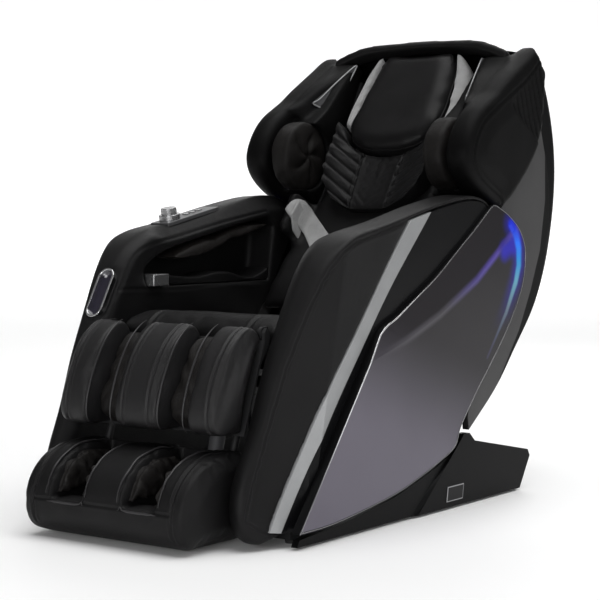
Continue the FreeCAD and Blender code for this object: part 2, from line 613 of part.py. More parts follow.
def make_legrest():
    slope = math.radians(LEG_SLOPE)
    lead = math.tan(slope)

    def behind(z, offset=0.0):
        """Y of the legrest's back line at a height."""
        return LEG_PIVOT[0] - 8 - (455 - z) * lead + offset

    front = [(-424, 486), (-452, 492), (-486, 476), (-524, 440), (-560, 378), (-583, 312), (-582, 268), (-556, 244)]
    foot_rear = (behind(244), 244.0)
    top_rear = (behind(455), 462.0)

    def pad(x0, x1, round_by):
        solid = slab(x0, x1, front, [front[-1], foot_rear], [foot_rear, top_rear], [top_rear, front[0]])
        return rounded(solid, round_by, lambda middle, edge: edge.BoundBox.XLength < 0.01
                       and edge.Length > 320)

    inner = CHANNEL_X - CHANNEL_WIDTH / 2
    outer = CHANNEL_X + CHANNEL_WIDTH / 2
    lug_room = rod(PLATE_INNER - 2, PLATE_INNER + PLATE_WALL + 1, LEG_PIVOT, LEG_LUG_R + 2)
    add("calf_pad_centre", pad(-inner, inner, 16))
    side_pad = pad(outer, SEAT_HALF - 1, 16).cut(lug_room)
    add("calf_pad_left", side_pad)
    add("calf_pad_right", mirrored(side_pad))

    floor = [(y + CHANNEL_DEPTH * 0.62, z - 22) for y, z in front[1:6]]
    floor = [(-414, 462)] + [(y, z) for y, z in floor if y < -414] + [(-520, 262)]
    bag = slab(inner + SOFT_GAP, outer - SOFT_GAP, floor, [floor[-1], (-500, 246)], [(-500, 246), foot_rear],
               [foot_rear, (behind(450), 450)])
    add("calf_airbags", pair(bag))

    wall = 6.0
    back_plate = plate(-SEAT_HALF + 1, SEAT_HALF - 1, [
        (behind(244), 244), (behind(455), 455), (behind(455) + wall, 455), (behind(244) + wall, 244)])
    arm_x0 = PLATE_INNER + PLATE_WALL + 1
    arm_x1 = SEAT_HALF
    cheek = plate(arm_x0, arm_x1, [
        (LEG_PIVOT[0] - 8 + 0.2, 452), (LEG_PIVOT[0] - 8, LEG_PIVOT[1] + 2), (LEG_PIVOT[0], LEG_PIVOT[1] + 12),
        (LEG_PIVOT[0] + 11, LEG_PIVOT[1] + 4), (LEG_PIVOT[0] + 11, LEG_PIVOT[1] - 20), (behind(400) + wall, 400),
        (behind(400), 400)])
    pin = rod(PLATE_INNER + 1, arm_x0 + 1, LEG_PIVOT, LEG_PIN_R)
    axis = Vector(0, -math.sin(slope), -math.cos(slope))
    guide_top = Vector(GUIDE_X, behind(430) + wall + GUIDE_R + 6, 430)
    sleeve = Part.makeCylinder(GUIDE_R + 5, 180, guide_top, axis)
    web = plate(GUIDE_X - 6, GUIDE_X + 6, [
        (behind(420) + wall - 1, 420), (behind(420) + wall + 10, 420),
        (behind(270) + wall + 10, 270), (behind(270) + wall - 1, 270)])
    bore = Part.makeCylinder(GUIDE_R + RUNNING_FIT, 400, guide_top - axis * 50, axis)
    half = cheek.fuse([pin, sleeve, web]).cut(bore)
    back_plate = back_plate.cut(bore).cut(mirrored(bore))
    frame = back_plate.fuse([half, mirrored(half)])
    add("legrest_frame", frame.removeSplitter())
    return guide_top, axis


def make_footrest(guide_top, axis):
    half = SEAT_HALF - 1
    rear = -440.0
    top = 205.0
    shape = slab(-half, half,
                 [(rear, FOOT_FLOOR), (-640, FOOT_FLOOR)],
                 [(-640, FOOT_FLOOR), (-672, 16), (-690, 36), (FOOT_FRONT, KICK_HEIGHT)],
                 [(FOOT_FRONT, KICK_HEIGHT), (-692, 124), (-668, 160), (-630, 190), (-585, 207), (-535, 211)],
                 [(-535, 211), (rear, top)], [(rear, top), (rear, FOOT_FLOOR)])
    shape = rounded_sides(shape, 14, 60)
    kick_zone = box(-half - 5, half + 5, FOOT_FRONT - 5, -640, FOOT_FLOOR - 5, KICK_HEIGHT)
    kick = shape.common(kick_zone)
    shell = shape.cut(kick_zone)
    shaft_place = (-592.0, 68.0)
    wells = []
    liners = []
    for side in (-1, 1):
        low = side * CHANNEL_X - WELL_WIDTH / 2
        high = low + WELL_WIDTH
        wells.append(plate(low, high, [(FOOT_FRONT - 20, 96), (-640, 92), (-500, 70), (-486, 120), (-478, 240),
                                       (FOOT_FRONT - 20, 240)]))
        wells.append(rod(low + 6, high - 6, shaft_place, FOOT_ROLLER_R + 2))
        for x0, x1 in ((low, low + 15), (high - 15, high)):
            liner = slab(x0, x1, [(-676, 100), (-664, 134), (-640, 168), (-600, 190), (-550, 196), (-510, 186)],
                         [(-510, 186), (-492, 150), (-500, 96)], [(-500, 96), (-590, 106), (-676, 100)])
            liners.append(liner.common(shape))
    for well in wells:
        shell = shell.cut(well)
        kick = kick.cut(well)
    shaft_hole = rod(-CHANNEL_X - WELL_WIDTH / 2 - 12, CHANNEL_X + WELL_WIDTH / 2 + 12, shaft_place,
                     FOOT_SHAFT_R + RUNNING_FIT)
    shell = shell.cut(shaft_hole)
    rods = []
    for side in (-1, 1):
        start = Vector(side * GUIDE_X, guide_top.y, guide_top.z) + axis * 14
        length = (start.z - 150) / -axis.z
        rods.append(Part.makeCylinder(GUIDE_R, length, start, axis))
    shell = shell.fuse(rods).removeSplitter()
    add("foot_box", shell)
    add("foot_kick_cover", kick)
    add("foot_liners", liners)
    shaft = rod(-CHANNEL_X - WELL_WIDTH / 2 - 10, CHANNEL_X + WELL_WIDTH / 2 + 10, shaft_place, FOOT_SHAFT_R)
    rollers = []
    for side in (-1, 1):
        for offset in (-20, 20):
            x = side * CHANNEL_X + offset
            roller = rod(x - 17, x + 17, shaft_place, FOOT_ROLLER_R)
            rollers.append(roller.makeFillet(5, [edge for edge in roller.Edges if edge.Closed]))
    add("foot_rollers", shaft.fuse(rollers))


def on_track(shape):
    """From the track's own frame to the upright back: y is behind its centre line, z along it."""
    shape = shape.copy()
    shape.rotate(Vector(0, 0, 0), Vector(1, 0, 0), -TRACK_LEAN)
    shape.translate(Vector(0, *TRACK_FOOT))
    return shape


def make_back_frame():
    hinge = upright(RECLINE_PIVOT)
    x0 = BACK_CHANNEL_INNER
    x1 = x0 + BACK_CHANNEL_WALL
    front = CHANNEL_FRONT
    channel = plate(x0, x1, [(front, 20), (front, 806), (220, 806), (150, 60),
                             (hinge[0] + 26, hinge[1] - 8), (hinge[0], hinge[1] - 24), (hinge[0] - 24, hinge[1])])
    stub = rod(x1 - 1, PLATE_INNER + PLATE_WALL, hinge, RECLINE_PIN_R)
    collar = rod(x1 - 1, PLATE_INNER - 1, hinge, RECLINE_PIN_R + 8)
    outriggers = [box(x1 - 1, COVER_HALF - COVER_WALL, 172, 186, z, z + 36) for z in (300, 640)]
    tabs = [box(x1 - 1, x1 + 12, 150, 186, z, z + 36) for z in (300, 640)]
    track = box(TRACK_INNER, TRACK_INNER + TRACK_WIDTH, -20, 20, 0, TRACK_LENGTH)
    track = track.cut(box(TRACK_INNER - 1, TRACK_INNER + 8, -TRACK_SLOT / 2, TRACK_SLOT / 2, 10, TRACK_LENGTH - 10))
    bridges = [box(TRACK_INNER + TRACK_WIDTH - 1, x0 + 1, -14, 14, z, z + 30) for z in (40, 380, 730)]
    track = on_track(track.fuse(bridges))
    half = channel.fuse([stub, collar, track] + outriggers + tabs)
    head_bar = box(-x1, x1, 190, 214, 790, 806)
    torsion = rod(-x1, x1, hinge, 20)
    pin = upright(recline_lever())
    across = Vector(0, pin[0] - hinge[0], pin[1] - hinge[1])
    side = Vector(0, across.z, -across.y).normalize() * 14
    cheeks = []
    for low in (-20, 12):
        base = Vector(low, hinge[0], hinge[1])
        tip = base + across
        arm = Part.Face(Part.makePolygon([base + side, tip + side, tip - side, base - side, base + side]))
        cheeks += [arm.extrude(Vector(8, 0, 0)), rod(low, low + 8, pin, 14)]
    lever_pin = rod(-20, 20, pin, LUG_PIN_R)
    frame = half.fuse([mirrored(half), head_bar, torsion, lever_pin] + cheeks)
    add("back_frame", leaned(frame.removeSplitter()))


def make_carriage():
    low = CARRIAGE_START
    high = CARRIAGE_START + CARRIAGE_HEIGHT
    roller_r = TRACK_SLOT / 2 - SEAM_GAP
    deck = box(-170, 170, 14, 26, low, high)
    wheels = []
    for z in (low + 20, high - 20):
        wheels.append(rod(-TRACK_INNER - 7.5, -150, (0, z), roller_r))
        wheels.append(rod(150, TRACK_INNER + 7.5, (0, z), roller_r))
    ears = [box(x, x + 18, -12, 16, low + 4, high - 4) for x in (-168, 150)]
    motor = rounded(box(-150, -60, 26, 80, low + 30, low + 110), 8, lambda middle, edge: middle.y > 79)
    gearbox = rounded(box(-40, 60, 26, 64, low + 20, low + 115), 5, lambda middle, edge: middle.y > 63)
    shaft_place = (-ROLLER_R - 4, low + CARRIAGE_HEIGHT / 2)
    brackets = [box(x, x + 16, shaft_place[0] - 16, 16, low + 47, low + 83) for x in (-140, 124)]
    body = deck.fuse(wheels + ears + [motor, gearbox] + brackets)
    body = body.cut(rod(-160, 160, shaft_place, ROLLER_SHAFT_R + RUNNING_FIT))
    add("massage_carriage", leaned(on_track(body.removeSplitter())))
    shaft = rod(-139, 139, shaft_place, ROLLER_SHAFT_R)
    rollers = []
    for x in (-92, -46, 46, 92):
        roller = rod(x - 14, x + 14, shaft_place, ROLLER_R)
        rollers.append(roller.makeFillet(9, [edge for edge in roller.Edges if edge.Closed]))
    add("kneading_rollers", leaned(on_track(shaft.fuse(rollers))))


def crown(top):
    """All that lies under the arched top of the back, in its upright frame."""
    return Part.makeCylinder(CROWN_R, 900, Vector(0, -200, top - CROWN_R), Vector(0, 1, 0))


def make_back_cover():
    rear = [(41, 906), (102, 884), (172, 849), (233, 806), (339, 693), (415, 527), (445, 368), (436, 250),
            (404, 160)]

    def body(half, inset):
        shift = [(y - inset, z - inset * 0.4) for y, z in rear]
        return slab(-half, half, shift, [shift[-1], (345 - inset, 96 + inset)],
                    [(345 - inset, 96 + inset), (168 - inset, 96 + inset)],
                    [(168 - inset, 96 + inset), (168 - inset, 700)], [(168 - inset, 700), (104 - inset, 836)],
                    [(104 - inset, 836), (44 - inset, 860)], [(44 - inset, 860), shift[0]])

    outer = rounded(body(COVER_HALF, 0), COVER_ROUND, lambda middle, edge: edge.Length > 700
                    and edge.BoundBox.XLength < 0.01)
    inner = rounded(body(COVER_HALF - COVER_WALL, COVER_WALL), COVER_ROUND - COVER_WALL,
                    lambda middle, edge: edge.Length > 700 and edge.BoundBox.XLength < 0.01)
    cover = outer.common(crown(CROWN_TOP)).cut(inner.common(crown(CROWN_TOP - COVER_WALL)))
    cover = cover.cut(box(-COVER_HALF + COVER_WALL, COVER_HALF - COVER_WALL, 20, 172, 102, 820))
    largest = max(cover.Solids, key=lambda solid: solid.Volume)
    add("back_cover", leaned(largest))

    visible_front = [(y + 2 * SEAM_GAP, z) for y, z in WING_REAR[::-1]]
    visible_rear = [visible_front[-1], (200, 670), (233, 643), (292, 582), (345, 490), (365, 434), (383, 272),
                    (348, 117), (325, 22), (271, -111), (245, -167)]
    hidden = [(245, -167), (222, -140), (190, -40), (120, 40), (96, 130), (78, 330), visible_front[0]]
    panel = slab(COVER_HALF, SIDE_PANEL_OUTER, visible_rear,
                 *[[a, b] for a, b in zip(hidden, hidden[1:])], visible_front)
    add("side_panel_left", leaned(panel))
    add("side_panel_right", leaned(mirrored(panel)))


def make_wings():
    front = [(58, 392), (-10, 385), (-66, 386), (-110, 400), (-138, 428), (-150, 470), (-149, 515), (-137, 562),
             (-110, 612), (-66, 684), (-17, 762), (10, 815), (24, 852), (38, 884)]
    low_rear = (44 - SEAM_GAP, 860)
    mid_rear = (104 - SEAM_GAP, 836)
    wing = slab(WING_INNER, WING_OUTER, front, [front[-1], low_rear], [low_rear, mid_rear],
                [mid_rear, WING_REAR[0]], WING_REAR, [WING_REAR[-1], front[0]])
    wing = rounded(wing, 26, lambda middle, edge: edge.Length > 700 and edge.BoundBox.XLength < 0.01)
    inner_x = PAD_HALF + 34
    inner = slab(inner_x, WING_INNER, [(CHANNEL_FRONT, 396), (-20, 402), (-70, 440), (-90, 500), (-84, 560),
                                       (-56, 620), (-16, 720), (30, 840)],
                 [(30, 840), (CHANNEL_FRONT, 840)], [(CHANNEL_FRONT, 840), (CHANNEL_FRONT, 396)])
    bag_place = (-50.0, 486.0)
    bag = rod(PAD_HALF + 40, WING_INNER - 2, bag_place, SHOULDER_BAG_R)
    bag = bag.makeFillet(24, [edge for edge in bag.Edges if edge.Closed])
    nest = rod(PAD_HALF + 20, WING_INNER - 2 + SEAM_GAP, bag_place, SHOULDER_BAG_R + SEAM_GAP)
    # the wing's inner face slants outwards to the front at head height
    section = [Vector(inner_x, 20, 600), Vector(WING_INNER, -120, 600), Vector(WING_INNER, 40, 600),
               Vector(inner_x, 40, 600), Vector(inner_x, 20, 600)]
    wedge = Part.Face(Part.makePolygon(section)).extrude(Vector(0, 0, 241))
    profile = slab(inner_x - 1, WING_INNER, front, [front[-1], low_rear], [low_rear, (100, 600)], [(100, 600), front[0]])
    wedge = wedge.common(profile)
    wing = wing.fuse([inner.cut(nest), wedge.cut(nest)])
    corner = [Vector(254, -65.1, 653), Vector(209, 14.7, 836), Vector(216, 2.3, 662)]
    outward = (corner[1] - corner[0]).cross(corner[2] - corner[0]).normalize()
    if outward.x > 0:
        outward = outward * -1
    grille = Part.Face(Part.makePolygon(corner + corner[:1]))
    grille.translate(outward * -3)
    speaker = grille.extrude(outward * 6)
    wing = wing.cut(speaker).removeSplitter()
    add("wing_left", leaned(wing))
    add("wing_right", leaned(mirrored(wing)))
    add("shoulder_airbags", [leaned(shape) for shape in pair(bag)])
    add("speakers", [leaned(shape) for shape in pair(speaker)])


def ahead_of_back(x0, x1, gap):
    """All of the space in front of the back cushion."""
    line = [(y - gap, z) for y, z in BACK_FRONT]
    ring = [(-300, 28)] + line + [(120 - gap, 930), (-300, 930)]
    return plate(x0, x1, ring)


def face_up(points, depth):
    """A ring of (x, z) points in the upright back, made solid from Y = 0 rearwards."""
    ring = [Vector(x, 0, z) for x, z in points]
    return Part.Face(Part.makePolygon(ring + ring[:1])).extrude(Vector(0, depth, 0))


def make_back_cushions():
    rear = [(y + BACK_THICK, z) for y, z in BACK_FRONT]
    lower = plate(-SEAT_HALF + 4, SEAT_HALF - 4, BACK_FRONT[:5] + rear[:5][::-1])
    half = PAD_HALF + 26
    upper = plate(-half, half, BACK_FRONT[4:] + rear[4:][::-1])
    bolster = plate(PAD_HALF + 34, SEAT_HALF - 4, [(-34, 246), (-50, 256), (-54, 366), (-40, 380), (30, 384),
                                                   (30, 262), (24, 246)])
    cushion = lower.fuse([upper, bolster, mirrored(bolster)]).removeSplitter()
    add("back_cushion", leaned(cushion))

    trim = plate(PAD_HALF + 28, PAD_HALF + 34, [(-36, 356), (-50, 300), (-18, 266), (26, 256), (29, 300), (29, 330)])
    add("lumbar_trims", [leaned(shape) for shape in pair(trim)])

    # shield-shaped front pad, hollowed round the sitter, with channels sewn across its sides
    shield = [(57, 342), (118, 368), (158, 414), (PAD_HALF, 476), (PAD_HALF - 2, 600), (PAD_HALF - 8, 636)]
    ring = shield + [(-x, z) for x, z in shield[::-1]]
    pad = face_up(ring, 140)
    pad.translate(Vector(0, -52, 0))
    pad = pad.common(ahead_of_back(-PAD_HALF - 1, PAD_HALF + 1, 0))
    hollow = Part.makeCylinder(PAD_HOLLOW_R, 400, Vector(0, -PAD_HOLLOW_R, 300))
    pad = pad.cut(hollow)
    for row in range(6):
        start = Vector(58, -3, 352 + PAD_CHANNEL_STEP * row)
        run = Vector(116, -36, 70)
        groove = Part.makeCylinder(5, run.Length, start, run)
        pad = pad.cut(groove).cut(mirrored(groove))
    low = [(-146, 610), (-118, 556), (-60, 530), (0, 524), (60, 530), (118, 556), (146, 610)]
    high = [(142, 710), (128, 820), (112, 868), (-112, 868), (-128, 820), (-142, 710)]
    pillow = face_up(low + high, 200)
    pillow.rotate(Vector(0, 0, 524), Vector(1, 0, 0), -PILLOW_LEAN)
    pillow.translate(Vector(0, PILLOW_FRONT, 0))
    cover_lip = plate(-300, 300, [(103, 834), (43, 858), (40, 930), (240, 930), (240, 834)])
    pillow = pillow.common(ahead_of_back(-300, 300, SEAM_GAP)).cut(cover_lip)
    lead = math.tan(math.radians(PILLOW_LEAN))
    pillow = rounded(pillow, 14, lambda middle, edge: middle.y < PILLOW_FRONT + 0.1 + lead * (middle.z - 524)
                     and edge.Length < 260)
    nest = [(-200, 642), (-148, 608)] + [(x, z - 1.2) for x, z in low[1:-1]] + [(148, 608), (200, 642)]
    nest = face_up(nest + [(200, 900), (-200, 900)], 400)
    nest.translate(Vector(0, -200, 0))
    nest.rotate(Vector(0, 0, 524), Vector(1, 0, 0), -PILLOW_LEAN)
    nest.translate(Vector(0, PILLOW_FRONT, 0))
    pad = pad.cut(nest)
    add("back_pad", leaned(pad))
    add("pillow", leaned(pillow))
    gusset = face_up([(147, 614), (188, 640), (186, 704), (168, 810), (140, 856), (114, 864), (129.5, 821),
                      (143.5, 711)], 140)
    # each side of the pillow slopes back from the edge of its front face
    slope = [Vector(130, -10, 560), Vector(130, 0, 560), Vector(190, 44, 560), Vector(190, -10, 560)]
    gusset = gusset.cut(Part.Face(Part.makePolygon(slope + slope[:1])).extrude(Vector(0, 0, 360)))
    gusset.rotate(Vector(0, 0, 524), Vector(1, 0, 0), -PILLOW_LEAN)
    gusset.translate(Vector(0, PILLOW_FRONT + 2, 0))
    gusset = gusset.common(ahead_of_back(0, 300, SEAM_GAP)).cut(cover_lip)
    gusset = gusset.common(face_up([(0, 500), (200, 500), (200, 900), (0, 900)], 300))
    add("pillow_sides", [leaned(shape) for shape in pair(gusset)])

    hood = slab(-WING_INNER + SEAM_GAP, WING_INNER - SEAM_GAP,
                [(8, 840), (-4, 860), (-2, 890), (12, 906), (28, 911), (39, 909)],
                [(39, 909), (41.5, 840)], [(41.5, 840), (8, 840)])
    hood = hood.common(crown(CROWN_TOP)).cut(crown(CROWN_TOP - HOOD_DEEP))
    add("hood", leaned(hood))


make_base()
make_tilt_drive()
make_seat()
make_arms()
make_side_shells()
make_arm_fittings()
make_recline_drive()
make_footrest(*make_legrest())
make_back_frame()
make_carriage()
make_back_cover()
make_wings()
make_back_cushions()

os.makedirs("parts", exist_ok=True)
for name, shape in nodes.items():
    placed = shape.copy()
    placed.translate(Vector(0, -ORIGIN_Y, 0))
    placed.exportStep("parts/%s.step" % name)
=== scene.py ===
import math

import bmesh
import bpy
import numpy as np
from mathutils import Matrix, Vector
from mathutils.bvhtree import BVHTree


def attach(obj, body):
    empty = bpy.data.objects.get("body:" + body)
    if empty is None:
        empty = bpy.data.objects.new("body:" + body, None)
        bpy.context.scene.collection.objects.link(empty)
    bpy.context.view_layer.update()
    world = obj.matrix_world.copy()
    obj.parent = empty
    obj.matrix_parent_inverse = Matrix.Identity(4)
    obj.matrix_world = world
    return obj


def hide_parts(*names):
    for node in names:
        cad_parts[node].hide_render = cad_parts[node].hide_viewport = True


bl_info = {
    "name": "Massage Chair",
    "version": (1, 0, 0),
    "blender": (4, 5, 0),
    "location": "3D View > Sidebar > Massage Chair",
    "description": "Upholstery, trims, finishes and a studio for the massage chair",
    "category": "Add Mesh",
}

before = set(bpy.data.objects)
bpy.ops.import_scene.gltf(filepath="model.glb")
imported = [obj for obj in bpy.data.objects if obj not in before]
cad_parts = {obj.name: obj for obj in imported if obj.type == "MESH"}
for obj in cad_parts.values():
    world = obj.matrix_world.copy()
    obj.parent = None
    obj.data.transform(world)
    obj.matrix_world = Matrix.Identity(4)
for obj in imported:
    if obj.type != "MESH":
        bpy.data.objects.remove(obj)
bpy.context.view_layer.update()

# Points are given in millimetres as on the drawing: x across, y towards the rear from under
# the seat's middle, z up from the floor. The model's own origin lies SHIFT_Y further back.
SHIFT_Y = 66.5
SEAT_JUNCTION = (185.0, 451.0)
BACK_LEAN = math.radians(31.0)
SIDES = (("left", 1.0), ("right", -1.0))
VIEW_TURN = math.radians(36.0)

ARM_FRONT = [(-520, 14), (-556, 34), (-574, 78), (-515, 242), (-456, 382), (-400, 490), (-350, 578),
             (-296, 646), (-236, 684), (-117, 710), (50, 745), (200, 773), (310, 783), (372, 772), (415, 742)]
ARM_SEAM = [(-508, 40), (-548, 60), (-560, 90), (-502, 243), (-443, 384), (-388, 492), (-338, 572),
            (-286, 635), (-230, 671), (-114, 697), (52, 732), (202, 760), (306, 770), (366, 760), (398, 733)]
SHELL_EDGE = [(-476, 38), (-401, 134), (-320, 238), (-239, 342), (-158, 446), (-140, 464), (-112, 480),
              (-72, 495), (20, 540), (109, 584), (205, 642), (302, 701), (378, 752), (400, 760), (424, 752),
              (468, 730), (518, 688), (544, 638), (534, 560), (486, 480), (409, 394), (307, 299), (236, 228),
              (209, 196), (185, 155), (113, 126.5), (20, 99), (-69, 77), (-156, 63), (-239, 52), (-360, 40),
              (-468, 38)]
CREASE = [(-191, 397), (-40, 438), (110, 490), (290, 570), (492, 696)]
LIGHT_LINE = [(470, 706), (492, 680), (506, 644), (507, 600), (491, 556), (441, 478), (344, 368)]
REAR_BORDER = [(161, 726), (214, 663), (287, 547), (334, 416), (345, 296), (345, 175), (322, 40)]
LUMBAR_PATCH = [(207, 366.0), (230, 318.0), (127, 205.0), (76, 247.0)]
PATCH_ROWS, PATCH_COLUMNS = 25, 11

ARM_HALF_WIDTH = 366.0
SHELL_HALF_WIDTH = 390.0
SHELL_FALL = 0.12
FOOT_SEAM_X = 206
FOOT_ROD_RUN = Vector((0, -0.342, -0.940))
SHOULDER_Y, SHOULDER_Z = -50, 486
PILLOW_FOOT_Y, PILLOW_FOOT_Z = -30, 524
PILLOW_LEAN = math.radians(6.1)
KNOB_PLACE = (-309, -25, 731)
PANEL_SLOPE = math.radians(11.5)
KNOB_RIDGES = 40

THREAD_SIDES = 6
CLOTH_FRAMES = 12

CAMERA_PLACE = (2.588, -3.50 - SHIFT_Y / 1000, 0.77)
CAMERA_PITCH = math.radians(86.7)
CAMERA_LENS = 103.2
SENSOR_WIDTH = 36.0
WORLD_STRENGTH = 0.16
SUN_AIM = (-0.14, -0.08, -0.98)
SUN_POWER = 2.5
# name, place, what it aims at, size, watts
LAMPS = (("side", (4.4, 0.4, 1.4), (0.3, 0, 0.4), 2.4, 34),
         ("rear", (-1.2, 3.4, 3.0), (0, 0.2, 0.7), 2.4, 40),
         ("front", (1.4, -3.8, 0.6), (0, -0.5, 0.4), 1.8, 56))


# ---------------------------------------------------------------- places and curves

def at(x, y, z):
    """A drawing point in the model's metres."""
    return Vector((x, y - SHIFT_Y, z)) / 1000.0


def on_back(x, y, z):
    """A point of the upright back as a drawing point."""
    return (x, SEAT_JUNCTION[0] + y * math.cos(BACK_LEAN) + z * math.sin(BACK_LEAN),
            SEAT_JUNCTION[1] - y * math.sin(BACK_LEAN) + z * math.cos(BACK_LEAN))


def at_back(x, y, z):
    """A point of the upright back in the model's metres."""
    return at(*on_back(x, y, z))


def to_drawing(co):
    out = co * 1000.0
    out[:, 1] += SHIFT_Y
    return out


def from_drawing(co):
    out = co.copy()
    out[:, 1] -= SHIFT_Y
    return out / 1000.0


def to_back(co):
    """Drawing points in the upright back's own frame."""
    y = co[:, 1] - SEAT_JUNCTION[0]
    z = co[:, 2] - SEAT_JUNCTION[1]
    c, s = math.cos(BACK_LEAN), math.sin(BACK_LEAN)
    return np.stack([co[:, 0], y * c - z * s, y * s + z * c], 1)


def from_back(co):
    c, s = math.cos(BACK_LEAN), math.sin(BACK_LEAN)
    return np.stack([co[:, 0], SEAT_JUNCTION[0] + co[:, 1] * c + co[:, 2] * s,
                     SEAT_JUNCTION[1] - co[:, 1] * s + co[:, 2] * c], 1)


def curve_through(points, count, closed=False):
    """Evenly spaced points on a smooth curve through the given ones."""
    p = np.array(points, float)
    if closed:
        p = np.vstack([p[-1], p, p[0], p[1]])
    else:
        p = np.vstack([2 * p[0] - p[1], p, 2 * p[-1] - p[-2]])
    dense = []
    for a, b, c, d in zip(p, p[1:], p[2:], p[3:]):
        for t in np.linspace(0, 1, 12, endpoint=False):
            dense.append(0.5 * (2 * b + (c - a) * t + (2 * a - 5 * b + 4 * c - d) * t * t
                                + (3 * b - a - 3 * c + d) * t ** 3))
    dense.append(p[-2])
    dense = np.array(dense)
    length = np.concatenate([[0], np.cumsum(np.linalg.norm(np.diff(dense, axis=0), axis=1))])
    wanted = np.linspace(0, length[-1], count, endpoint=not closed)
    return np.stack([np.interp(wanted, length, dense[:, k]) for k in range(p.shape[1])], 1)


def distance_to(points, line):
    """Each point's distance to a line of points."""
    line = np.array(line, float)
    best = np.full(len(points), 1e9)
    for a, b in zip(line, line[1:]):
        run = b - a
        t = np.clip(((points - a) @ run) / max(run @ run, 1e-9), 0, 1)
        best = np.minimum(best, np.linalg.norm(points - a - t[:, None] * run, axis=1))
    return best


def arm_side(y, z):
    """How far out the arm's side lies: flat, and narrowing towards its front."""
    return np.minimum(ARM_HALF_WIDTH, 312.0 + 0.3542 * (y + 530.0) - 0.0815 * (z - 160.0))


def shell_side(y, z):
    """How far out the side shell lies: it falls away above its crease."""
    fall = 1e9
    for (ya, za), (yb, zb) in zip(CREASE, CREASE[1:]):
        length = math.hypot(yb - ya, zb - za)
        fall = min(fall, ((z - za) * (yb - ya) - (y - ya) * (zb - za)) / length)
    return SHELL_HALF_WIDTH - SHELL_FALL * max(fall, 0.0)


def smooth_step(low, high, value):
    t = np.clip((value - low) / (high - low), 0, 1)
    return t * t * (3 - 2 * t)


def bell(value, width):
    return np.exp(-(value / width) ** 2)


def to_nearest(value, pitch):
    """Minus the distance to the nearest multiple of a pitch."""
    return np.abs((value % pitch) - pitch / 2) - pitch / 2


# ---------------------------------------------------------------- meshes

def mesh_object(name, verts, faces, smooth=True):
    mesh = bpy.data.meshes.new(name)
    mesh.from_pydata([tuple(v) for v in verts], [], [tuple(f) for f in faces])
    mesh.validate()
    obj = bpy.data.objects.new(name, mesh)
    bpy.context.scene.collection.objects.link(obj)
    shade_smooth(mesh, smooth)
    return obj


def coords(obj):
    co = np.zeros(len(obj.data.vertices) * 3)
    obj.data.vertices.foreach_get("co", co)
    return co.reshape(-1, 3)


def normals(obj):
    no = np.zeros(len(obj.data.vertices) * 3)
    obj.data.vertices.foreach_get("normal", no)
    return no.reshape(-1, 3)


def set_coords(obj, co):
    obj.data.vertices.foreach_set("co", co.reshape(-1))
    obj.data.update()


def drawing_coords(obj):
    return to_drawing(coords(obj))


def back_coords(obj):
    """Its points in the upright back's frame."""
    return to_back(to_drawing(coords(obj)))


def set_back_coords(obj, local):
    set_coords(obj, from_drawing(from_back(local)))


def shade_smooth(mesh, smooth=True):
    mesh.polygons.foreach_set("use_smooth", [smooth] * len(mesh.polygons))


def neighbours(obj):
    edges = np.zeros(len(obj.data.edges) * 2, int)
    obj.data.edges.foreach_get("vertices", edges)
    return edges.reshape(-1, 2)


def relax(obj, rounds, weight=None):
    """Evens out the surface; weight says where."""
    edges = neighbours(obj)
    co = coords(obj)
    degree = np.bincount(edges.reshape(-1), minlength=len(co)).astype(float)[:, None]
    scale = 0.5 if weight is None else 0.5 * weight[:, None]
    for _ in range(rounds):
        total = np.zeros_like(co)
        for k in range(3):
            total[:, k] = (np.bincount(edges[:, 0], co[edges[:, 1], k], len(co))
                           + np.bincount(edges[:, 1], co[edges[:, 0], k], len(co)))
        co += scale * (total / np.maximum(degree, 1) - co)
    set_coords(obj, co)


def apply_modifiers(obj):
    graph = bpy.context.evaluated_depsgraph_get()
    mesh = bpy.data.meshes.new_from_object(obj.evaluated_get(graph))
    old = obj.data
    obj.modifiers.clear()
    obj.data = mesh
    bpy.data.meshes.remove(old)


def cut_off(obj, point, normal):
    """Removes what lies on the normal's side of a plane and closes the cut."""
    bm = bmesh.new()
    bm.from_mesh(obj.data)
    bmesh.ops.remove_doubles(bm, verts=bm.verts, dist=1e-6)
    bmesh.ops.bisect_plane(bm, geom=bm.verts[:] + bm.edges[:] + bm.faces[:], plane_co=point,
                           plane_no=normal, clear_outer=True)
    bmesh.ops.holes_fill(bm, edges=[e for e in bm.edges if e.is_boundary], sides=0)
    bm.to_mesh(obj.data)
    bm.free()


def soft_copy(name, nodes, voxel, rounds=3, cuts=()):
    """An even mesh over the given solids, ready to be shaped as upholstery."""
    bm = bmesh.new()
    for node in nodes:
        bm.from_mesh(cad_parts[node].data)
    bmesh.ops.remove_doubles(bm, verts=bm.verts, dist=1e-6)
    mesh = bpy.data.meshes.new(name)
    bm.to_mesh(mesh)
    bm.free()
    obj = bpy.data.objects.new(name, mesh)
    bpy.context.scene.collection.objects.link(obj)
    for point, normal in cuts:
        cut_off(obj, point, normal)
    remesh = obj.modifiers.new("even", "REMESH")
    remesh.mode = "VOXEL"
    remesh.voxel_size = voxel
    apply_modifiers(obj)
    relax(obj, rounds)
    shade_smooth(obj.data)
    return obj


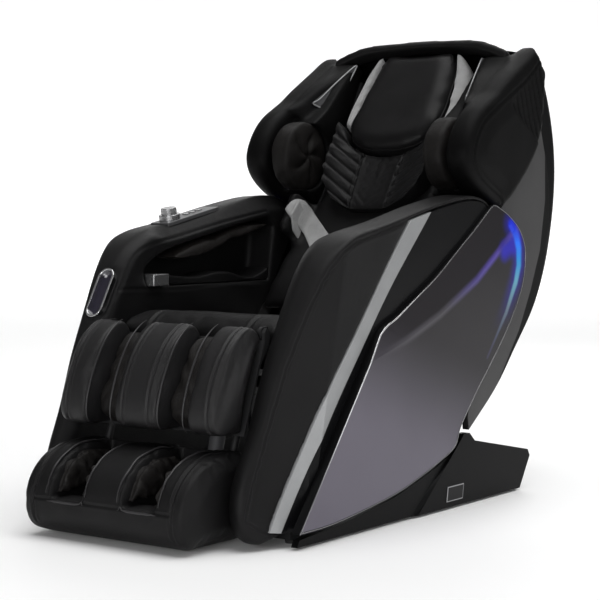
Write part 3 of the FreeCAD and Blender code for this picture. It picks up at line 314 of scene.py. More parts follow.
def stuff(obj, cap):
    """Fills a cover with cloth simulation, from a little inside its start. Cap limits how far a point
    moves, in mm."""
    start = coords(obj)
    limit = np.full(len(start), cap / 1000.0)
    set_coords(obj, start - normals(obj) * (limit * 0.55)[:, None])
    cloth = obj.modifiers.new("cloth", "CLOTH")
    cloth.settings.quality = 3
    cloth.settings.mass = 0.3
    cloth.settings.tension_stiffness = 12
    cloth.settings.compression_stiffness = 12
    cloth.settings.bending_stiffness = 0.4
    cloth.settings.use_pressure = True
    cloth.settings.uniform_pressure_force = 4.0
    cloth.settings.effector_weights.gravity = 0
    cloth.point_cache.frame_start = 1
    cloth.point_cache.frame_end = CLOTH_FRAMES
    for number in range(1, CLOTH_FRAMES + 1):
        bpy.context.scene.frame_set(number)
    graph = bpy.context.evaluated_depsgraph_get()
    evaluated = obj.evaluated_get(graph)
    reached = np.zeros(len(start) * 3)
    evaluated.data.vertices.foreach_get("co", reached)
    obj.modifiers.clear()
    bpy.context.scene.frame_set(1)
    base = coords(obj)
    move = reached.reshape(-1, 3) - base
    size = np.linalg.norm(move, axis=1)
    keep = np.minimum(1.0, 1.15 * limit / np.maximum(size, 1e-9))
    set_coords(obj, base + move * keep[:, None])
    relax(obj, 2)


def subdivide(obj):
    modifier = obj.modifiers.new("fine", "SUBSURF")
    modifier.levels = modifier.render_levels = 1
    apply_modifiers(obj)
    shade_smooth(obj.data)


def filled(name, nodes, voxel, cap, rounds=3, ease=0, cuts=()):
    """A soft copy of solids, filled by stuff and made finer."""
    obj = soft_copy(name, nodes, voxel, rounds, cuts)
    stuff(obj, cap)
    if ease:
        relax(obj, ease)
    subdivide(obj)
    return obj


def push(obj, amount):
    """Moves each point along its normal by an amount in mm."""
    set_coords(obj, coords(obj) + normals(obj) * (amount / 1000.0)[:, None])


def groove(distance, width, depth, lip=0.35):
    """A sewn line: sunk in the middle with a soft swell on each side."""
    return -depth * bell(distance, width) + depth * lip * bell(distance - 2.6 * width, 1.3 * width)


def hash_noise(co, scale, seed=0.0):
    """Smooth made-up noise, -1 to 1, the same at each run."""
    p = co / scale
    total = np.zeros(len(co))
    for k, (a, b, c, w) in enumerate(((1.0, 0.7, 0.3, 1.0), (-0.6, 1.1, 0.8, 0.8), (0.4, -0.9, 1.3, 0.7),
                                      (1.7, 0.2, -1.1, 0.5), (-1.2, -1.6, 0.9, 0.4))):
        total += w * np.sin(p[:, 0] * a * 2.1 + p[:, 1] * b * 2.3 + p[:, 2] * c * 1.9 + seed * (k + 1) * 1.7
                            + 1.3 * np.sin(p[:, 1] * c + p[:, 2] * a + seed))
    return total / 3.4


def surface_of(obj):
    bm = bmesh.new()
    bm.from_mesh(obj.data)
    tree = BVHTree.FromBMesh(bm)
    bm.free()
    return tree


def lay_on(tree, points, lift=0.0, aim=None):
    """Points moved to the nearest place of a surface, with that surface's normals."""
    laid, facing = [], []
    for p in points:
        p = Vector(p)
        hit = (None,)
        if aim is not None:
            hit = tree.ray_cast(p + Vector(aim) * -0.15, Vector(aim), 0.4)
        if hit[0] is None:
            hit = tree.find_nearest(p)
        laid.append(hit[0] + hit[1] * lift)
        facing.append(hit[1])
    return laid, facing


def tube(name, points, radius, sides=8, closed=False, flat=1.0, facing=None, taper=False, swell=None):
    """A round or flattened cord of mesh along points, in metres."""
    points = [Vector(p) for p in points]
    count = len(points)
    verts, faces = [], []
    up = None
    for k, p in enumerate(points):
        ahead = points[(k + 1) % count] if closed or k < count - 1 else points[k]
        behind = points[k - 1] if closed or k > 0 else points[k]
        run = (ahead - behind).normalized()
        if facing is not None:
            up = Vector(facing[k])
        elif up is None:
            up = run.orthogonal()
        up = (up - run * up.dot(run)).normalized()
        side = run.cross(up)
        r = radius * (swell[k] if swell else 1.0)
        if taper:
            r *= min(1.0, 0.25 + 3.0 * min(k, count - 1 - k) / count)
        for s in range(sides):
            angle = 2 * math.pi * s / sides
            verts.append(p + side * (math.cos(angle) * r) + up * (math.sin(angle) * r * flat))
    rings = count if closed else count - 1
    for k in range(rings):
        a = k * sides
        b = ((k + 1) % count) * sides
        for s in range(sides):
            t = (s + 1) % sides
            faces.append((a + s, a + t, b + t, b + s))
    if not closed:
        faces.append(tuple(range(sides))[::-1])
        faces.append(tuple(range((count - 1) * sides, count * sides)))
    return mesh_object(name, verts, faces)


def stitches(name, rows, pitch, radius):
    """Short rounded threads along rows of (points, normals), in metres."""
    verts, faces = [], []
    for points, facing in rows:
        points = [Vector(p) for p in points]
        length = [0.0]
        for a, b in zip(points, points[1:]):
            length.append(length[-1] + (b - a).length)
        count = int(length[-1] / pitch)
        grid = np.array([list(p) for p in points])
        face = np.array([list(n) for n in facing])
        for k in range(count):
            ends = [(k + 0.17) * pitch, (k + 0.5) * pitch, (k + 0.83) * pitch]
            spot = [Vector([np.interp(e, length, grid[:, i]) for i in range(3)]) for e in ends]
            up = Vector([np.interp(ends[1], length, face[:, i]) for i in range(3)]).normalized()
            run = (spot[2] - spot[0]).normalized()
            side = run.cross(up)
            first = len(verts)
            for p, r, lift in ((spot[0], 0.45, -0.3), (spot[1], 1.0, 0.55), (spot[2], 0.45, -0.3)):
                centre = p + up * radius * lift
                for s in range(THREAD_SIDES):
                    angle = 2 * math.pi * s / THREAD_SIDES
                    verts.append(centre + side * (math.cos(angle) * radius * r)
                                 + up * (math.sin(angle) * radius * r))
            for ring in range(2):
                for s in range(THREAD_SIDES):
                    t = (s + 1) % THREAD_SIDES
                    a = first + ring * THREAD_SIDES
                    b = a + THREAD_SIDES
                    faces.append((a + s, a + t, b + t, b + s))
            faces.append(tuple(first + s for s in range(THREAD_SIDES))[::-1])
            faces.append(tuple(first + 2 * THREAD_SIDES + s for s in range(THREAD_SIDES)))
    return mesh_object(name, verts, faces)


def offset_rows(points, facing, gap):
    """Two rows beside a line, each gap to one side of it."""
    rows = []
    for sign in (-1, 1):
        moved = []
        for k, p in enumerate(points):
            a = points[max(k - 1, 0)]
            b = points[min(k + 1, len(points) - 1)]
            side = (b - a).normalized().cross(facing[k])
            moved.append(p + side * gap * sign)
        rows.append((moved, facing))
    return rows


def finish_piece(obj, body, slot, replaced=(), material=None):
    obj.data.materials.clear()
    obj.data.materials.append(finishes[material or slot])
    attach(obj, body)
    if replaced:
        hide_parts(*replaced)
    return obj


# ---------------------------------------------------------------- finishes

def math_step(operation, swapped=False):
    """A method that adds one Math node, with its two values swapped where asked."""
    def step(self, *other):
        values = other + (self,) if swapped else (self,) + other
        return self.paint.add("ShaderNodeMath", {"operation": operation}, dict(enumerate(values)))
    return step


class Wire:
    """A value in a material. Sums written with it add the nodes that work them out."""

    def __init__(self, paint, socket):
        self.paint = paint
        self.socket = socket

    __add__ = __radd__ = math_step("ADD")
    __sub__ = math_step("SUBTRACT")
    __rsub__ = math_step("SUBTRACT", swapped=True)
    __mul__ = __rmul__ = math_step("MULTIPLY")
    __truediv__ = math_step("DIVIDE")
    __pow__ = math_step("POWER")
    __abs__ = math_step("ABSOLUTE")
    below = math_step("MINIMUM")
    above = math_step("MAXIMUM")
    sine = math_step("SINE")

    def ramp(self, low, high):
        """0 at low and 1 at high, with a smooth rise between."""
        return self.paint.add("ShaderNodeMapRange", {"interpolation_type": "SMOOTHSTEP"},
                              {"Value": self, "From Min": low, "From Max": high})


class Paint:
    """One material, drawn up as expressions."""

    def __init__(self, name):
        self.material = bpy.data.materials.new(name)
        self.material.use_nodes = True
        self.tree = self.material.node_tree
        self.tree.nodes.clear()
        self.place = self.add("ShaderNodeTexCoord", output="Object")

    def add(self, kind, settings=None, values=None, output=0):
        node = self.tree.nodes.new(kind)
        for key, value in (settings or {}).items():
            if key == "stops":
                ramp = node.color_ramp
                while len(ramp.elements) < len(value):
                    ramp.elements.new(0.5)
                for element, (position, colour) in zip(ramp.elements, value):
                    element.position = position
                    element.color = (*colour, 1.0)
            else:
                setattr(node, key, value)
        for key, value in (values or {}).items():
            if isinstance(value, Wire):
                self.tree.links.new(value.socket, node.inputs[key])
            elif isinstance(value, (tuple, list)) and len(value) == 3 and node.inputs[key].type == "RGBA":
                node.inputs[key].default_value = (*value, 1.0)
            else:
                node.inputs[key].default_value = value
        return Wire(self, node.outputs[output])

    def noise(self, scale, detail=2.0, roughness=0.5):
        return self.add("ShaderNodeTexNoise", None, {"Vector": self.place, "Scale": scale,
                                                     "Detail": detail, "Roughness": roughness})

    def cells(self, scale, feature="DISTANCE_TO_EDGE"):
        return self.add("ShaderNodeTexVoronoi", {"feature": feature},
                        {"Vector": self.place, "Scale": scale}, output="Distance")

    def mix(self, factor, first, second):
        return self.add("ShaderNodeMix", {"data_type": "RGBA"}, {0: factor, 6: first, 7: second}, output=2)

    def part(self, axis):
        return self.add("ShaderNodeSeparateXYZ", None, {0: self.place}, output=axis)

    def bump(self, height, distance, strength=1.0, under=None):
        values = {"Height": height, "Distance": distance, "Strength": strength}
        if under is not None:
            values["Normal"] = under
        return self.add("ShaderNodeBump", None, values)

    def surface(self, **values):
        """The finished surface; names are the shader's sockets with _ for a space."""
        named = {key.replace("_", " "): value for key, value in values.items()}
        shader = self.add("ShaderNodeBsdfPrincipled", None, named, output="BSDF")
        out = self.tree.nodes.new("ShaderNodeOutputMaterial")
        self.tree.links.new(shader.socket, out.inputs["Surface"])
        return self.material


finishes = {}


def toned(colour, factor, plus=0.0):
    return tuple(min(1.0, c * factor + plus) for c in colour)


def leather(name, colour, roughness=0.42, grain=1.0, creases=1.0, gloss=0.15):
    """Fine pebbled hide with faint long creases and slightly polished high spots."""
    p = Paint(name)
    warp = p.noise(9.0, 3.0)
    pebble = p.cells(780.0)
    pores = p.noise(2100.0, 1.0)
    long_crease = p.noise(26.0, 5.0, 0.62)
    patches = p.noise(5.0, 3.0)
    height = pebble.ramp(0.0, 0.09) * 0.7 + pores * 0.3
    fine = p.bump(height, 0.00022 * grain, 0.7)
    soft = p.bump(long_crease, 0.0022 * creases, 0.5, fine)
    tone = (patches * 0.5 + warp * 0.3 + pebble.ramp(0.0, 0.1) * 0.25).ramp(0.25, 0.85)
    rough = (roughness - 0.07) + patches * 0.1 + (1 - pebble.ramp(0.0, 0.08)) * 0.08
    finishes[name] = p.surface(Base_Color=p.mix(tone, toned(colour, 0.72), toned(colour, 1.35, 0.002)),
                               Roughness=rough, Normal=soft, Specular_IOR_Level=gloss)


def moulded(name, colour, roughness, texture=1.0, coat=0.0, metal=0.0, scale=900.0, gloss=0.5):
    """Moulded plastic or paint with a very fine texture and handling marks."""
    p = Paint(name)
    spark = p.noise(scale, 2.0)
    smear = p.noise(7.0, 4.0, 0.6)
    tone = (smear * 0.7 + spark * 0.3).ramp(0.3, 0.75)
    finishes[name] = p.surface(
        Base_Color=p.mix(tone, toned(colour, 0.88), toned(colour, 1.1)),
        Roughness=(roughness - 0.05) + smear * 0.1, Metallic=metal, Coat_Weight=coat, Coat_Roughness=0.12,
        Specular_IOR_Level=gloss,
        Normal=p.bump(spark, 0.00012 * texture, 0.6))


def line_distance(p, line):
    """How far a place is from a line on the chair's side, in metres."""
    y, z = p.part(1), p.part(2)
    nearest = None
    for (ya, za), (yb, zb) in zip(line, line[1:]):
        a, b = at(0, ya, za), at(0, yb, zb)
        run = b - a
        along = (((y - a.y) * run.y + (z - a.z) * run.z) / run.length_squared).above(0.0).below(1.0)
        dy = y - a.y - along * run.y
        dz = z - a.z - along * run.z
        square = dy * dy + dz * dz
        nearest = square if nearest is None else nearest.below(square)
    return nearest ** 0.5


def strip_light(p):
    """The light strip's glow: white-blue in its core; round it, a deep blue painted glow spreading over the
    shell, and a violet painted highlight along the crease.
    """
    y, z = p.part(1), p.part(2)
    away = line_distance(p, LIGHT_LINE)
    high = z.ramp(0.374, 0.710)
    hue = p.add("ShaderNodeValToRGB", {"stops": [(0.0, (0.02, 0.02, 0.05)), (0.28, (0.10, 0.15, 0.20)),
                                                 (0.58, (0.10, 0.32, 0.45)), (0.80, (0.0, 0.25, 0.62)),
                                                 (0.94, (0.0, 0.15, 0.90)), (1.0, (0.0, 0.02, 0.60))]},
                {0: high}, output="Color")
    # on the shell every part of this is painted light: the core, the blue glow spread round it, the glow
    # patch at the corner and the violet highlight along the crease
    core = 1 - (away / (0.004 + high * 0.0095)).ramp(0.45, 1.6)
    spread = (1 - away.ramp(0.0, 0.050)) * z.ramp(0.42, 0.64)
    corner = 1 - line_distance(p, [(432, 640), (490, 662)]).ramp(0.004, 0.040)
    blue = p.mix((spread * 0.75 + corner).below(1.0), (0.0, 0.0, 0.0), (0.004, 0.002, 0.36))
    ridge = (1 - line_distance(p, CREASE).ramp(0.0, 0.016)) * z.ramp(0.40, 0.46)
    violet = p.mix(y.ramp(0.05, 0.36), (0.05, 0.048, 0.055), (0.07, 0.045, 0.30))
    return p.mix(core, p.mix(ridge * (1 - corner), blue, violet), hue)


def shell_paint():
    """Metallic lavender-grey paint. Painted shade darkens it above the crease, and it stays lighter low down
    as a painted reflection of the pale floor. It is nearly black where it doesn't face sideways. The light
    strip's glow is painted over it as emission, though the shell gives no light of its own.
    """
    p = Paint("shell_grey")
    flake = p.cells(2600.0, "F1")
    smear = p.noise(4.0, 3.0)
    z = p.part(2)
    tone = (smear * 0.5 + flake * 0.5).ramp(0.2, 0.8)
    paint = p.mix(tone, (0.110, 0.100, 0.128), (0.148, 0.136, 0.170))
    # painted shade and painted reflection: darker higher up and further back, lighter low down where the pale
    # floor would be reflected
    high = z + p.part(1) * 0.35
    paint = p.mix(high.ramp(0.13, 0.46), paint, p.mix(tone, (0.016, 0.014, 0.017), (0.026, 0.023, 0.027)))
    facing = p.add("ShaderNodeSeparateXYZ", None, {0: p.add("ShaderNodeTexCoord", output="Normal")})
    paint = p.mix(abs(facing).ramp(0.6, 0.7), (0.003, 0.003, 0.0035), paint)
    # the light strip's glow, its bright core included, is painted onto the shell as emission
    light = strip_light(p)
    finishes["shell_grey"] = p.surface(
        Base_Color=paint, Metallic=0.5, Roughness=0.34 + flake * 0.12, Coat_Weight=0.15, Coat_Roughness=0.2,
        Specular_IOR_Level=0.35, Emission_Color=light, Emission_Strength=1.0,
        Normal=p.bump(flake, 0.00006, 0.5))


def light_diffuser():
    p = Paint("light_strip")
    grain = p.noise(600.0, 1.0)
    light = strip_light(p)
    finishes["light_strip"] = p.surface(Base_Color=(0.02, 0.02, 0.05), Roughness=0.3 + grain * 0.1,
                                        Emission_Color=light, Emission_Strength=1.0)


def side_trim():
    """Metal with a painted highlight: bright near the kink of the shell's front edge, darkening away from it.
    """
    p = Paint("side_trim")
    lines = p.noise(340.0, 4.0)
    # painted highlight: light metal near the kink, dark metal further off
    away = line_distance(p, [(-250, 330), (-155, 440), (-120, 470)])
    finishes["side_trim"] = p.surface(
        Base_Color=p.mix(away.ramp(0.05, 0.28), (0.80, 0.80, 0.81), (0.22, 0.22, 0.225)), Metallic=1.0,
        Roughness=0.16 + lines * 0.1, Normal=p.bump(lines, 0.00008, 0.5))


def badge_paint():
    """A small bare plate: dark with a light rim."""
    p = Paint("badge")
    y, z = p.part(1), p.part(2)
    low, high = at(0, 150, 20), at(0, 228, 58)
    slanted = y - (z - low.z) * (6.0 / 38.0)
    inside = (slanted - low.y).below(high.y - slanted).below(z - low.z).below(high.z - z)
    grain = p.noise(900.0, 2.0)
    finishes["badge"] = p.surface(
        Base_Color=p.mix(inside.ramp(0.0022, 0.0028), (0.30, 0.30, 0.31), (0.006, 0.006, 0.0065)),
        Roughness=0.4 + grain * 0.1, Specular_IOR_Level=0.2, Normal=p.bump(grain, 0.0001, 0.5))


def rear_paint(colour):
    """Grey rear side panels with a black border along their rear edge."""
    p = Paint("rear_grey")
    y, z = p.part(1), p.part(2)
    spark = p.noise(900.0, 2.0)
    smear = p.noise(7.0, 4.0, 0.6)
    outside = None
    for a, b in zip(REAR_BORDER, REAR_BORDER[1:]):
        start, end = at_back(0, *a), at_back(0, *b)
        run = (end - start).normalized()
        past = (y - start.y) * -run.z + (z - start.z) * run.y
        outside = past if outside is None else outside.above(past)
    grey = p.mix((smear * 0.7 + spark * 0.3).ramp(0.3, 0.75), toned(colour, 0.88),
                 toned(colour, 1.1))
    border = outside.ramp(-0.001, 0.001)
    finishes["rear_grey"] = p.surface(
        Base_Color=p.mix(border, grey, (0.002, 0.002, 0.0022)), Roughness=0.33 + smear * 0.1 + border * 0.2,
        Metallic=0.3, Specular_IOR_Level=0.2, Normal=p.bump(spark, 0.0001, 0.6))


def woven(name, colour, roughness, pitch, sheen):
    """Plain-woven cloth of crossed threads."""
    p = Paint(name)
    across = (p.part(0) * pitch * 2.0).sine()
    along = ((p.part(1) + p.part(2)) * pitch * 2.0).sine()
    weave = abs(across) * 0.5 + abs(along) * 0.5
    slub = p.noise(60.0, 3.0)
    tone = (weave * 0.6 + slub * 0.5).ramp(0.25, 0.9)
    finishes[name] = p.surface(
        Base_Color=p.mix(tone, toned(colour, 0.7), toned(colour, 1.2)),
        Roughness=roughness, Sheen_Weight=sheen, Normal=p.bump(weave + slub * 0.6, 0.0004, 0.6))


def wood_board():
    p = Paint("board_wood")
    z = p.part(2)
    rings = (z * 140.0 + p.noise(6.0, 3.0) * 9.0).sine()
    finishes["board_wood"] = p.surface(
        Base_Color=p.mix(rings.ramp(-1, 1), (0.42, 0.28, 0.15), (0.58, 0.42, 0.25)),
        Roughness=0.62, Normal=p.bump(rings, 0.0003, 0.4))


def steel(name, colour, roughness, metal=1.0):
    p = Paint(name)
    lines = p.noise(340.0, 4.0)
    finishes[name] = p.surface(
        Base_Color=p.mix(lines, toned(colour, 0.85), colour), Metallic=metal,
        Roughness=roughness + lines * 0.12, Normal=p.bump(lines, 0.00008, 0.5))


def perforated(name):
    p = Paint(name)
    holes = p.cells(230.0, "F1")
    mask = holes.ramp(0.18, 0.3)
    finishes[name] = p.surface(
        Base_Color=p.mix(mask, (0.004, 0.004, 0.004), (0.05, 0.05, 0.053)),
        Roughness=0.55, Normal=p.bump(mask, 0.0008, 0.8))


def mix_finishes(colours):
    leather("leather_black", colours.leather, 0.42)
    leather("leather_smooth", toned(colours.leather, 1.1), 0.38, 0.6, 0.6)
    leather("bag_brown", colours.bag, 0.5, 1.2, 2.0)
    # a lighter, glossier copy of the airbag cloth: painted light for the forearm airbags in the arm's shaded
    # hollow
    leather("bag_gloss_painted_light", toned(colours.bag, 2.0), 0.36, 1.0, 2.0, 0.3)
    # a lighter copy of the leather: painted light on the calf pads
    leather("leather_calf_painted_light", toned(colours.leather, 1.7), 0.40, 1.0, 1.0, 0.28)
    # a darker copy of the leather: painted shade on the head wings
    leather("leather_painted_shade", toned(colours.leather, 0.4), 0.46, 1.0, 1.0, 0.07)
    # a lighter, glossier copy of the leather: painted highlights on the piping
    leather("piping_painted_highlight", toned(colours.leather, 4.0), 0.34, 0.6, 0.6, 0.45)
    moulded("thread", toned(colours.leather, 7.0), 0.6, 1.0, gloss=0.3)
    woven("fabric_silver", colours.silver, 0.6, 1500.0, 0.5)
    moulded("shell_black", (0.0040, 0.0040, 0.0045), 0.26, 0.5, gloss=0.1)
    moulded("back_black", (0.0030, 0.0030, 0.0033), 0.42, 1.6, gloss=0.08)
    rear_paint(colours.rear)
    moulded("stripe_silver", (0.30, 0.305, 0.31), 0.36, 0.5, 0.1, 0.3)
    moulded("silver_plastic", (0.32, 0.32, 0.325), 0.26, 0.4, 0.2, 0.8)
    moulded("drive_grey", (0.16, 0.16, 0.17), 0.5, 2.5)
    moulded("rubber_black", (0.018, 0.018, 0.018), 0.75, 4.0, 0.0, 0.0, 500.0)
    moulded("grille_dark", (0.012, 0.012, 0.013), 0.4, 1.0)
    moulded("inset_dark", (0.012, 0.010, 0.022), 0.12, 0.2, 0.8)
    perforated("speaker_mesh")
    steel("frame_steel", (0.010, 0.010, 0.011), 0.55, 0.1)
    moulded("panel_grey", (0.13, 0.13, 0.135), 0.34, 0.5, 0.0, 0.5)
    steel("rod_steel", (0.62, 0.62, 0.63), 0.2)
    steel("chrome_trim", (0.82, 0.82, 0.83), 0.12)
    wood_board()
    light_diffuser()
    shell_paint()
    side_trim()
    badge_paint()


FINISH_NODES = {
    "frame_steel": ("base_frame", "seat_frame", "legrest_frame", "back_frame"),
    "back_black": ("base_cover_left", "base_cover_right", "base_rear_panel", "back_cover"),
    "badge": ("badge_plates",),
    "rubber_black": ("base_feet", "transport_wheels", "foot_rollers", "kneading_rollers"),
    "drive_grey": ("air_pump", "control_box", "tilt_actuator", "recline_actuator", "massage_carriage"),
    "grille_dark": ("power_inlet", "power_switch"),
    "rod_steel": ("tilt_rod", "recline_rod"),
    "board_wood": ("arm_boards",),
    "stripe_silver": ("silver_stripes",),
    "shell_black": ("infill_panels",),
    "shell_grey": ("side_shell_left", "side_shell_right"),
    "light_strip": ("led_strips",),
    "leather_black": ("arm_trays",),
    "silver_plastic": ("hand_rest_caps", "knob", "button_1", "button_2", "button_3"),
    "chrome_trim": ("pocket_bezel",),
    "inset_dark": ("pocket_insert",),
    "panel_grey": ("control_panel",),
    "rear_grey": ("side_panel_left", "side_panel_right"),
    "speaker_mesh": ("speakers",),
}
ROUNDED_NODES = {
    "base_cover_left": 3.0, "base_cover_right": 3.0, "silver_stripes": 0.8, "infill_panels": 1.0,
    "side_shell_left": 2.5, "side_shell_right": 2.5, "side_panel_left": 2.5, "side_panel_right": 2.5,
    "badge_plates": 1.0, "hand_rest_caps": 1.5, "control_panel": 1.0, "base_rear_panel": 1.5,
    "pocket_bezel": 1.2, "back_cover": 1.5,
}


# ---------------------------------------------------------------- settings

def colour_setting(name, description, default):
    return bpy.props.FloatVectorProperty(name=name, description=description, size=3, subtype="COLOR",
                                         min=0, max=1, default=default)


def length_setting(name, description, low, high, default):
    return bpy.props.FloatProperty(name=name, description=description, unit="LENGTH",
                                   min=low, max=high, default=default)


class ChairColours(bpy.types.PropertyGroup):
    leather: colour_setting("Leather", "Colour of the upholstery", (0.0046, 0.0044, 0.0047))
    silver: colour_setting("Silver cloth", "Colour of the silver gussets", (0.33, 0.33, 0.33))
    bag: colour_setting("Airbag cloth", "Colour of the airbag covers", (0.0075, 0.0066, 0.0062))
    rear: colour_setting("Rear sides", "Colour of the grey rear side panels", (0.070, 0.069, 0.070))


class ChairSizes(bpy.types.PropertyGroup):
    stitch_pitch: length_setting("Stitch pitch", "Length of one stitch with its gap", 0.002, 0.02, 0.0055)
    stitch_radius: length_setting("Thread radius", "Half the thread's thickness", 0.0002, 0.002, 0.0006)
    piping_radius: length_setting("Piping radius", "Half the piping's thickness", 0.0005, 0.006, 0.0022)
    trim_width: length_setting("Trim width", "Width of the bright trim round the side shells",
                               0.001, 0.01, 0.0042)


def sizes():
    return bpy.context.scene.chair_sizes


# ---------------------------------------------------------------- pieces

def sewn(name, obj, lines, body, slot, gap, aim=None):
    """Rows of thread beside each line, on the finished surface of a piece."""
    tree = surface_of(obj)
    rows = []
    for line in lines:
        laid, facing = lay_on(tree, line, 0.0002, aim)
        for points, normal in offset_rows(laid, facing, gap):
            placed, normal = lay_on(tree, points, 0.0003)
            rows.append((placed, normal))
    thread = stitches(name, rows, sizes().stitch_pitch, sizes().stitch_radius)
    return finish_piece(thread, body, slot, material="thread")


def piping(name, obj, lines, body, slot, radius, lift):
    """Raised cords along lines on the finished surface of a piece."""
    tree = surface_of(obj)
    made = []
    for k, line in enumerate(lines):
        laid, facing = lay_on(tree, line, lift)
        made.append(tube("%s_%d" % (name, k), laid, radius, facing=facing, taper=True))
    # the piping takes the lighter copy of the leather: painted highlights
    return finish_piece(join(name, made), body, slot, material="piping_painted_highlight")


def join(name, objects):
    bm = bmesh.new()
    for obj in objects:
        bm.from_mesh(obj.data)
        old = obj.data
        bpy.data.objects.remove(obj)
        bpy.data.meshes.remove(old)
    mesh = bpy.data.meshes.new(name)
    bm.to_mesh(mesh)
    bm.free()
    obj = bpy.data.objects.new(name, mesh)
    bpy.context.scene.collection.objects.link(obj)
    shade_smooth(mesh)
    return obj


def arm(side_name, side):
    """Leather arm cover: padded front band, slanting side, forearm pocket."""
    obj = soft_copy("arm_leather_" + side_name, ["arm_cover_" + side_name], 0.0048, 4)
    co = drawing_coords(obj)
    front = curve_through(ARM_FRONT, 90)
    seam = curve_through(ARM_SEAM, 90)
    d_front = distance_to(co[:, 1:3], front)
    relax(obj, 16, bell(d_front, 26) * (1 - smooth_step(200, 330, co[:, 1])))
    # the armrest's top rolls down towards the sitter
    co = drawing_coords(obj)
    x = co[:, 0] * side
    d_front = distance_to(co[:, 1:3], front)
    roll = (1 - smooth_step(250, 292, x)) * (1 - smooth_step(6, 58, d_front))
    co[:, 2] -= 26 * roll * smooth_step(-250, -150, co[:, 1])
    co[:, 1] += 14 * roll * (1 - smooth_step(-250, -150, co[:, 1]))
    set_coords(obj, from_drawing(co))
    relax(obj, 4, bell(d_front, 40))
    no = normals(obj)
    co = drawing_coords(obj)
    x = co[:, 0] * side
    d_front = distance_to(co[:, 1:3], front)
    d_seam = distance_to(co[:, 1:3], seam)
    outer_face = smooth_step(-16, -5, x - arm_side(co[:, 1], co[:, 2]))
    swell = 2.5 * bell(d_front, 18) * bell(x - 296, 34)
    line = groove(d_seam, 3.0, 3.2) * outer_face
    # the lower inner panel is sewn to the upper along a level line
    inner_face = smooth_step(0.5, 0.9, -no[:, 0] * side)
    level = groove(np.abs(co[:, 2] - 548 - 4 * np.sin(co[:, 1] / 70)), 2.6, 2.4) * inner_face
    level *= smooth_step(-362, -350, co[:, 1]) * (1 - smooth_step(240, 260, co[:, 1]))
    pillar = curve_through([(-372, 520), (-346, 548), (-318, 592), (-288, 632), (-236, 658), (-110, 680),
                            (60, 712), (250, 742)], 40)
    d_pillar = distance_to(co[:, 1:3], pillar)
    level += groove(d_pillar, 2.6, 2.2) * inner_face
    ripple = 0.5 * hash_noise(co, 90, 1.0 + side) * smooth_step(0.2, 0.8, np.abs(no[:, 0]))
    push(obj, swell + line + level + ripple)
    finish_piece(obj, "seat", "leather_black", ["arm_cover_" + side_name])
    seam_line = [at(side * arm_side(y, z), y, z) for y, z in seam[2:-6]]
    sewn("arm_stitching_" + side_name, obj, [seam_line], "seat", "leather_black", 0.0055)
    return obj


class CHAIR_OT_finishes(bpy.types.Operator):
    """Mixes every finish and dresses the rigid pieces"""
    bl_idname = "chair.finishes"
    bl_label = "Finishes and rigid pieces"

    def execute(self, context):
        mix_finishes(context.scene.chair_colours)
        for finish, nodes in FINISH_NODES.items():
            for node in nodes:
                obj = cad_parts[node]
                obj.data.materials.clear()
                obj.data.materials.append(finishes[finish])
        for node, radius in ROUNDED_NODES.items():
            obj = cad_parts[node]
            weld = obj.modifiers.new("weld", "WELD")
            weld.merge_threshold = 1e-6
            bevel = obj.modifiers.new("edges", "BEVEL")
            bevel.width = radius / 1000.0
            bevel.segments = 3
            bevel.limit_method = "ANGLE"
            bevel.angle_limit = math.radians(25)
            bevel.harden_normals = True
        return {"FINISHED"}


class CHAIR_OT_arms(bpy.types.Operator):
    """Leather arm covers with their sewn seams"""
    bl_idname = "chair.arms"
    bl_label = "Arm covers"

    def execute(self, context):
        for side_name, side in SIDES:
            arm(side_name, side)
        return {"FINISHED"}


class CHAIR_OT_shell_trims(bpy.types.Operator):
    """Bright trims round the outer side shells"""
    bl_idname = "chair.shell_trims"
    bl_label = "Shell trims"

    def execute(self, context):
        for side_name, side in SIDES:
            line = curve_through(SHELL_EDGE, 260)
            centre = line.mean(0)
            points, swell = [], []
            for k, p in enumerate(line):
                # wider at the front edge's kink and along the lower half
                kink = float(bell(np.linalg.norm(p - (-150, 450)), 130))
                swell.append(0.62 + 0.55 * kink + (0.15 if p[1] < 380 else 0))
                run = line[min(k + 1, len(line) - 1)] - line[max(k - 1, 0)]
                inward = np.array([run[1], -run[0]]) / np.linalg.norm(run)
                if inward @ (centre - p) < 0:
                    inward = -inward
                q = p + inward * 2.0
                points.append(at(side * (shell_side(q[0], q[1]) + 0.2), q[0], q[1]))
            trim = tube("shell_trim_" + side_name, points, sizes().trim_width / 2, 10,
                        facing=[(side, 0, 0)] * len(points), flat=0.55, swell=swell)
            finish_piece(trim, "seat", "silver_plastic", material="side_trim")
        return {"FINISHED"}


class CHAIR_OT_seat(bpy.types.Operator):
    """Seat cushion"""
    bl_idname = "chair.seat"
    bl_label = "Seat cushion"

    def execute(self, context):
        obj = filled("seat_pad", ["seat_cushion"], 0.009, 10)
        co = drawing_coords(obj)
        up = smooth_step(0.3, 0.8, normals(obj)[:, 2])
        seams = np.minimum(np.abs(np.abs(co[:, 0]) - 150), 400)
        push(obj, (groove(seams, 4, 4) + 1.2 * hash_noise(co, 60, 3)) * up)
        finish_piece(obj, "seat", "leather_black", ["seat_cushion"])
        return {"FINISHED"}


def calf_side(obj):
    """1 where a leg rest piece faces the calves, 0 elsewhere."""
    no = normals(obj)
    return smooth_step(-0.1, 0.5, -no[:, 1] + no[:, 2] * 0.6)


